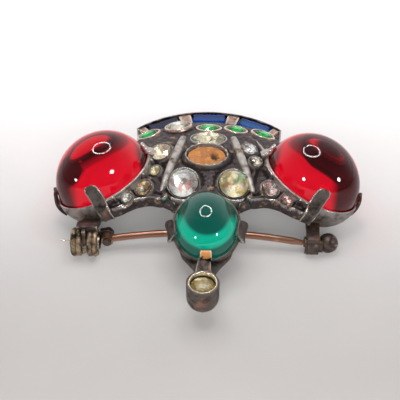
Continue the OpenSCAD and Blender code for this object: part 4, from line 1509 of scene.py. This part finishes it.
def corners(at, size):
    """The eight corners of a box, from its lowest corner and its size."""
    return [[at[0] + i * size[0], at[1] + j * size[1], at[2] + k * size[2]]
            for i in (0, 1) for j in (0, 1) for k in (0, 1)]


print("a bevelled box has", len(hull_block(corners((0, 0, 0), (1, 1, 1)), 0.1)[1]), "faces")

# %% [markdown]
# ## Hinge bracket
# Behind the left stone a small block carries a barrel with the coil round it, and an ear for the pin's
# rivet. A web joins block and barrel, and a cheek joins barrel and ear. The five are soldered into one, so
# they are one piece in brown brass.

# %% Hinge bracket
COIL_Y, COIL_Z, BARREL_R, DISC_SIDES = -6.9, 2.0, 1, 20
EYE_X, EYE_Z, EYE_R = -13.85, 2.0, 0.85
LUG_Y, LUG_T = -5.5, 0.7


def barrel_disc(x):
    """Points round the barrel."""
    return [[x, COIL_Y + BARREL_R * math.cos(a), COIL_Z + BARREL_R * math.sin(a)] for a in around(DISC_SIDES)]


def eye_disc(y):
    """Points round the end of the ear."""
    return [[EYE_X + EYE_R * math.cos(a), y, EYE_Z + EYE_R * math.sin(a)] for a in around(DISC_SIDES)]


def turned_x(profile, y, z, sides):
    """A turned shape about an axis along X. The profile gives x and radius."""
    t = around(sides)
    return loft([np.stack([np.full(sides, x), y + r * np.cos(t), z + r * np.sin(t)], 1) for x, r in profile])


web = hull_block(barrel_disc(-17.1) + barrel_disc(-16.6) + corners((-17.1, -7.7, 4.1), (0.5, 1.8, 0.5)), 0.06)
block = hull_block(corners((-17.9, -6.9, 4.25), (2.9, 1, 0.6))
                   + corners((-17.2, -5.0, 3.5), (2.4, 0.8, 0.5)), 0.14)
barrel = turned_x([(-18.72, 0.85), (-18.68, 0.97), (-18.6, BARREL_R), (-14.88, BARREL_R), (-14.8, 0.96)],
                  COIL_Y, COIL_Z, 48)
ear = hull_block(eye_disc(LUG_Y) + eye_disc(LUG_Y + LUG_T)
                 + corners((-14.9, LUG_Y, 1.3), (0.3, LUG_T, 1.4)), 0.05)
cheek = hull_block(barrel_disc(-14.9) + barrel_disc(-14.8)
                   + corners((-14.9, LUG_Y, 1.3), (0.1, LUG_T, 1.4)), 0.02)
bracket = cast_piece("hinge_bracket", join(web, block, barrel, ear, cheek), BROWN_BRASS, slot="brown_brass")
print("bracket faces", len(bracket.data.polygons))

# %% [markdown]
# ## Corner fillets
# Beside the green stone the arms meet its basket in a small lump of metal at each corner, where the model
# was filled in with wax before it was cast. Each lump is a hull of ten points with a wide bevel, the same
# on both sides.

# %% Corner fillets
FILLET = [[-7.1, -2.0, 7.0], [-7.1, -3.3, 6.6], [-7.0, -3.2, 5.7], [-7.0, -2.2, 5.9], [-5.6, -3.7, 5.65],
          [-5.6, -2.6, 5.8], [-5.6, -3.3, 6.9], [-4.35, -4.55, 5.5], [-4.35, -3.4, 5.7], [-4.35, -3.9, 6.9]]
for side, name in ((1, "left"), (-1, "right")):
    fillet = hull_block([[side * x, y, z] for x, y, z in FILLET], 0.15)
    cast_piece(f"corner_{name}", fillet, DARK_SILVER, hollow_gain=1.0)

# %% [markdown]
# ## Catch housing
# Behind the right stone a post carries a slotted ring, in which the turning catch sits. The pin drops
# through the slot in the ring's underside. The ring is a small section turned about X, from one side of the
# slot round to the other.

# %% Catch housing
CATCH_X, CATCH_Y, CATCH_Z, SLOT_STEPS, RING_SOFT = 13.9, -6.2, 1.4, 60, 0.1


def slotted_ring(end_x, inner, outer, slot):
    """A ring about X with a slot in its underside and its outer edges taken off."""
    half = math.asin(0.5 * slot / outer)
    profile = [(CATCH_X, inner), (end_x, inner), (end_x, outer - RING_SOFT), (end_x - RING_SOFT, outer),
               (CATCH_X + RING_SOFT, outer), (CATCH_X, outer - RING_SOFT)]
    return loft([[[x, CATCH_Y + r * math.cos(a), CATCH_Z + r * math.sin(a)] for x, r in profile]
                 for a in np.linspace(-0.5 * math.pi + half, 1.5 * math.pi - half, SLOT_STEPS)])


post = hull_block(corners((CATCH_X, -7.1, 2.45), (1.7, 1.8, 0.85))
                  + corners((CATCH_X, -3.9, 2.5), (1.9, 1.4, 0.8)), 0.12)
housing = cast_piece("catch_housing", join(post, slotted_ring(15.6, 1.06, 1.35, 1.24)), BROWN_BRASS,
                     slot="brown_brass", edge_gain=2.0)
print("housing faces", len(housing.data.polygons))

# %% [markdown]
# ## Coil
# The coil is one brass wire: two turns, a run along the barrel, two more turns, and a cut tail that sticks
# out to the left. It is swept as a single line, so the turns join as real wire does.

# %% Coil
COIL_R, COIL_WIRE = 2.0, 0.42
COIL_MIDDLE_R = COIL_R - COIL_WIRE
# Each pair of turns starts in one plane and leans over to the next one near its end.
COIL_PAIRS, TURNS, TURN_POINTS = ((-18.3, -17.62), (-16.1, -15.42)), 1.92, 100


def coil_line():
    """The middle of the wire."""
    points = []
    for first_x, last_x in COIL_PAIRS:
        for k in np.linspace(0, TURNS, TURN_POINTS):
            a = -0.5 * math.pi + 0.25 + 2 * math.pi * k
            lean = np.clip((k - 0.9) / 0.12, 0, 1)
            points.append([first_x + (last_x - first_x) * lean, COIL_Y + COIL_MIDDLE_R * math.cos(a),
                           COIL_Z + COIL_MIDDLE_R * math.sin(a)])
    return np.array(points)


def round_section(r, sides):
    t = around(sides)
    return np.stack([r * np.cos(t), r * np.sin(t)], 1)


wire = coil_line()
outward = (wire - [0, COIL_Y, COIL_Z]) * [0, 1, 1]
coil = sweep(wire, [round_section(0.99 * COIL_WIRE, 20)] * len(wire), outward)
TAIL_ANGLE = math.radians(52)
TAIL_Y, TAIL_Z = COIL_Y - COIL_MIDDLE_R * math.cos(TAIL_ANGLE), COIL_Z + COIL_MIDDLE_R * math.sin(TAIL_ANGLE)
tail = turned_x([(-20.08, 0.05), (-20.05, 0.1), (-19.2, 0.13), (-18.5, 0.17), (-18.3, 0.18)],
                TAIL_Y, TAIL_Z, 20)
spring = make_piece("spring", join(coil, tail), "spring_coil")
measure_wear(spring)
spring.data.materials.append(OLD_BRASS)
print("coil points", len(wire))

# %% [markdown]
# ## Old glue
# One setting lost its stone and shows the glue that held it, ochre and crumbly, with a dark hole where a
# lump came away. It is a disc of rings pushed up and down with noise, sunk at the hole, under a rough matt
# finish. The hole's darkness is painted shade, deepest where the hole is deepest.

# %% Glue finish
glue_finish, tree, shader = new_finish("old_glue")
crumb = noise_node(tree, 2200.0, 8.0, 0.7)
stain = smooth_step(tree, noise_node(tree, 700.0, 3.0), 0.45, 0.62)
ochre = mix_colour(tree, stain, (0.46, 0.19, 0.05), (0.34, 0.13, 0.04))
ochre = mix_colour(tree, smooth_step(tree, crumb, 0.55, 0.75), ochre, (0.6, 0.36, 0.17))
# Painted shade: the glue is darker the deeper a point lies in the hole.
glue_colour = mix_colour(tree, attribute_node(tree, "hole"), ochre, (0.05, 0.03, 0.02))
tree.links.new(glue_colour, shader.inputs["Base Color"])
shader.inputs["Roughness"].default_value = 0.75
bump(tree, shader, crumb, 0.8, 0.00012)
print("glue finish nodes", len(tree.nodes))

# %% Glue
GLUE_SIDES, HOLE_AT, HOLE_HALF, HOLE_DEEP = 96, (1.2, -0.05), (0.55, 0.8), 0.6
BACK_AND_SIDE = ((0.02, -1.08), (0.6, -1.08), (0.99, -1.06), (0.995, -0.6), (0.99, -0.3))


def glue_hole(points):
    """How deep in the broken-out hole each point is, 0 to 1."""
    jag = np.array([noise.fractal((x * 2.4, y * 2.4, 1.5), 0.8, 2.0, 4) for x, y, _ in points])
    away_x, away_y = ((points[:, i] - HOLE_AT[i]) / HOLE_HALF[i] for i in (0, 1))
    return np.exp(-(np.hypot(away_x, away_y) + 0.5 * jag) ** 4)


def glue_ring(share, z):
    return oval_ring(GLUE.a * share, GLUE.b * share, z, GLUE_SIDES)


def glue_lump():
    """The back and side of the lump, then its rough top from the rim to the middle."""
    rings = [glue_ring(share, z) for share, z in BACK_AND_SIDE]
    for f in np.linspace(0.98, 0.02, 44):
        ring = glue_ring(f, -0.25 + 0.12 * (1 - f * f))
        rough = [noise.fractal((x * 1.6, y * 1.6, 5.5), 0.6, 2.2, 6) for x, y, _ in ring]
        ring[:, 2] += 0.12 * np.clip(rough, -1, 1) - HOLE_DEEP * glue_hole(ring)
        rings.append(ring)
    return loft(rings)


lump = glue_lump()
glue = make_piece("glue", put(lump, *seat(GLUE)), "glue_bed")
# How deep each point of the top lies in the hole; the finish paints shade by it.
hole = glue_hole(lump[0]) * (lump[0][:, 2] > -0.95)
glue.data.attributes.new("hole", "FLOAT", "POINT").data.foreach_set("value", hole.astype(np.float32))
glue.data.materials.append(glue_finish)
print("glue faces", len(glue.data.polygons))

# %% [markdown]
# ## Pin, rivet and catch
# These three move or hold what moves. Their solids already have the right shape, so they stay, and only
# take a finish: copper showing through worn gold on the pin, brown brass on the rivet and catch.

# %% Finishes for the moving parts
MOVING = {"pin_stem": COPPER_GOLD, "hinge_rivet": BROWN_BRASS, "catch_barrel": BROWN_BRASS}
for name, finish in MOVING.items():
    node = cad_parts[name]
    node.data.materials.clear()
    node.data.materials.append(finish)
print("finished nodes", list(MOVING))

# %% [markdown]
# ## Floor
# The brooch lies on a pale, slightly mottled surface that is a warm grey near the camera and fades to white
# behind, a painted light for the brighter light behind the brooch. A little glow of its own, painted light
# too, keeps the far part white. The floor is stage: it isn't part of the brooch.

# %% Floor
floor_finish, tree, shader = new_finish("pale_floor")
mottle = noise_node(tree, 60.0, 5.0, 0.6)
where, split = tree.nodes.new("ShaderNodeTexCoord"), tree.nodes.new("ShaderNodeSeparateXYZ")
tree.links.new(where.outputs["Object"], split.inputs["Vector"])
near = mix_colour(tree, mottle, (0.385, 0.366, 0.356), (0.435, 0.416, 0.404))
# The fade to white and the glow are painted light from behind.
painted_light_fade = smooth_step(tree, split.outputs["Y"], -0.03, 0.07)
tree.links.new(mix_colour(tree, painted_light_fade, near, (0.96, 0.96, 0.96)), shader.inputs["Base Color"])
tree.links.new(mix_colour(tree, painted_light_fade, (0.0, 0.0, 0.0), (0.42, 0.42, 0.42)), shader.inputs["Emission Color"])
shader.inputs["Emission Strength"].default_value = 1.0
shader.inputs["Roughness"].default_value = 0.85
bm = bmesh.new()
bmesh.ops.create_grid(bm, x_segments=8, y_segments=8, size=0.5)
floor_mesh = bpy.data.meshes.new("floor")
bm.to_mesh(floor_mesh)
bm.free()
floor = bpy.data.objects.new("floor", floor_mesh)
floor_mesh.materials.append(floor_finish)
bpy.context.scene.collection.objects.link(floor)
print("floor faces", len(floor_mesh.polygons))
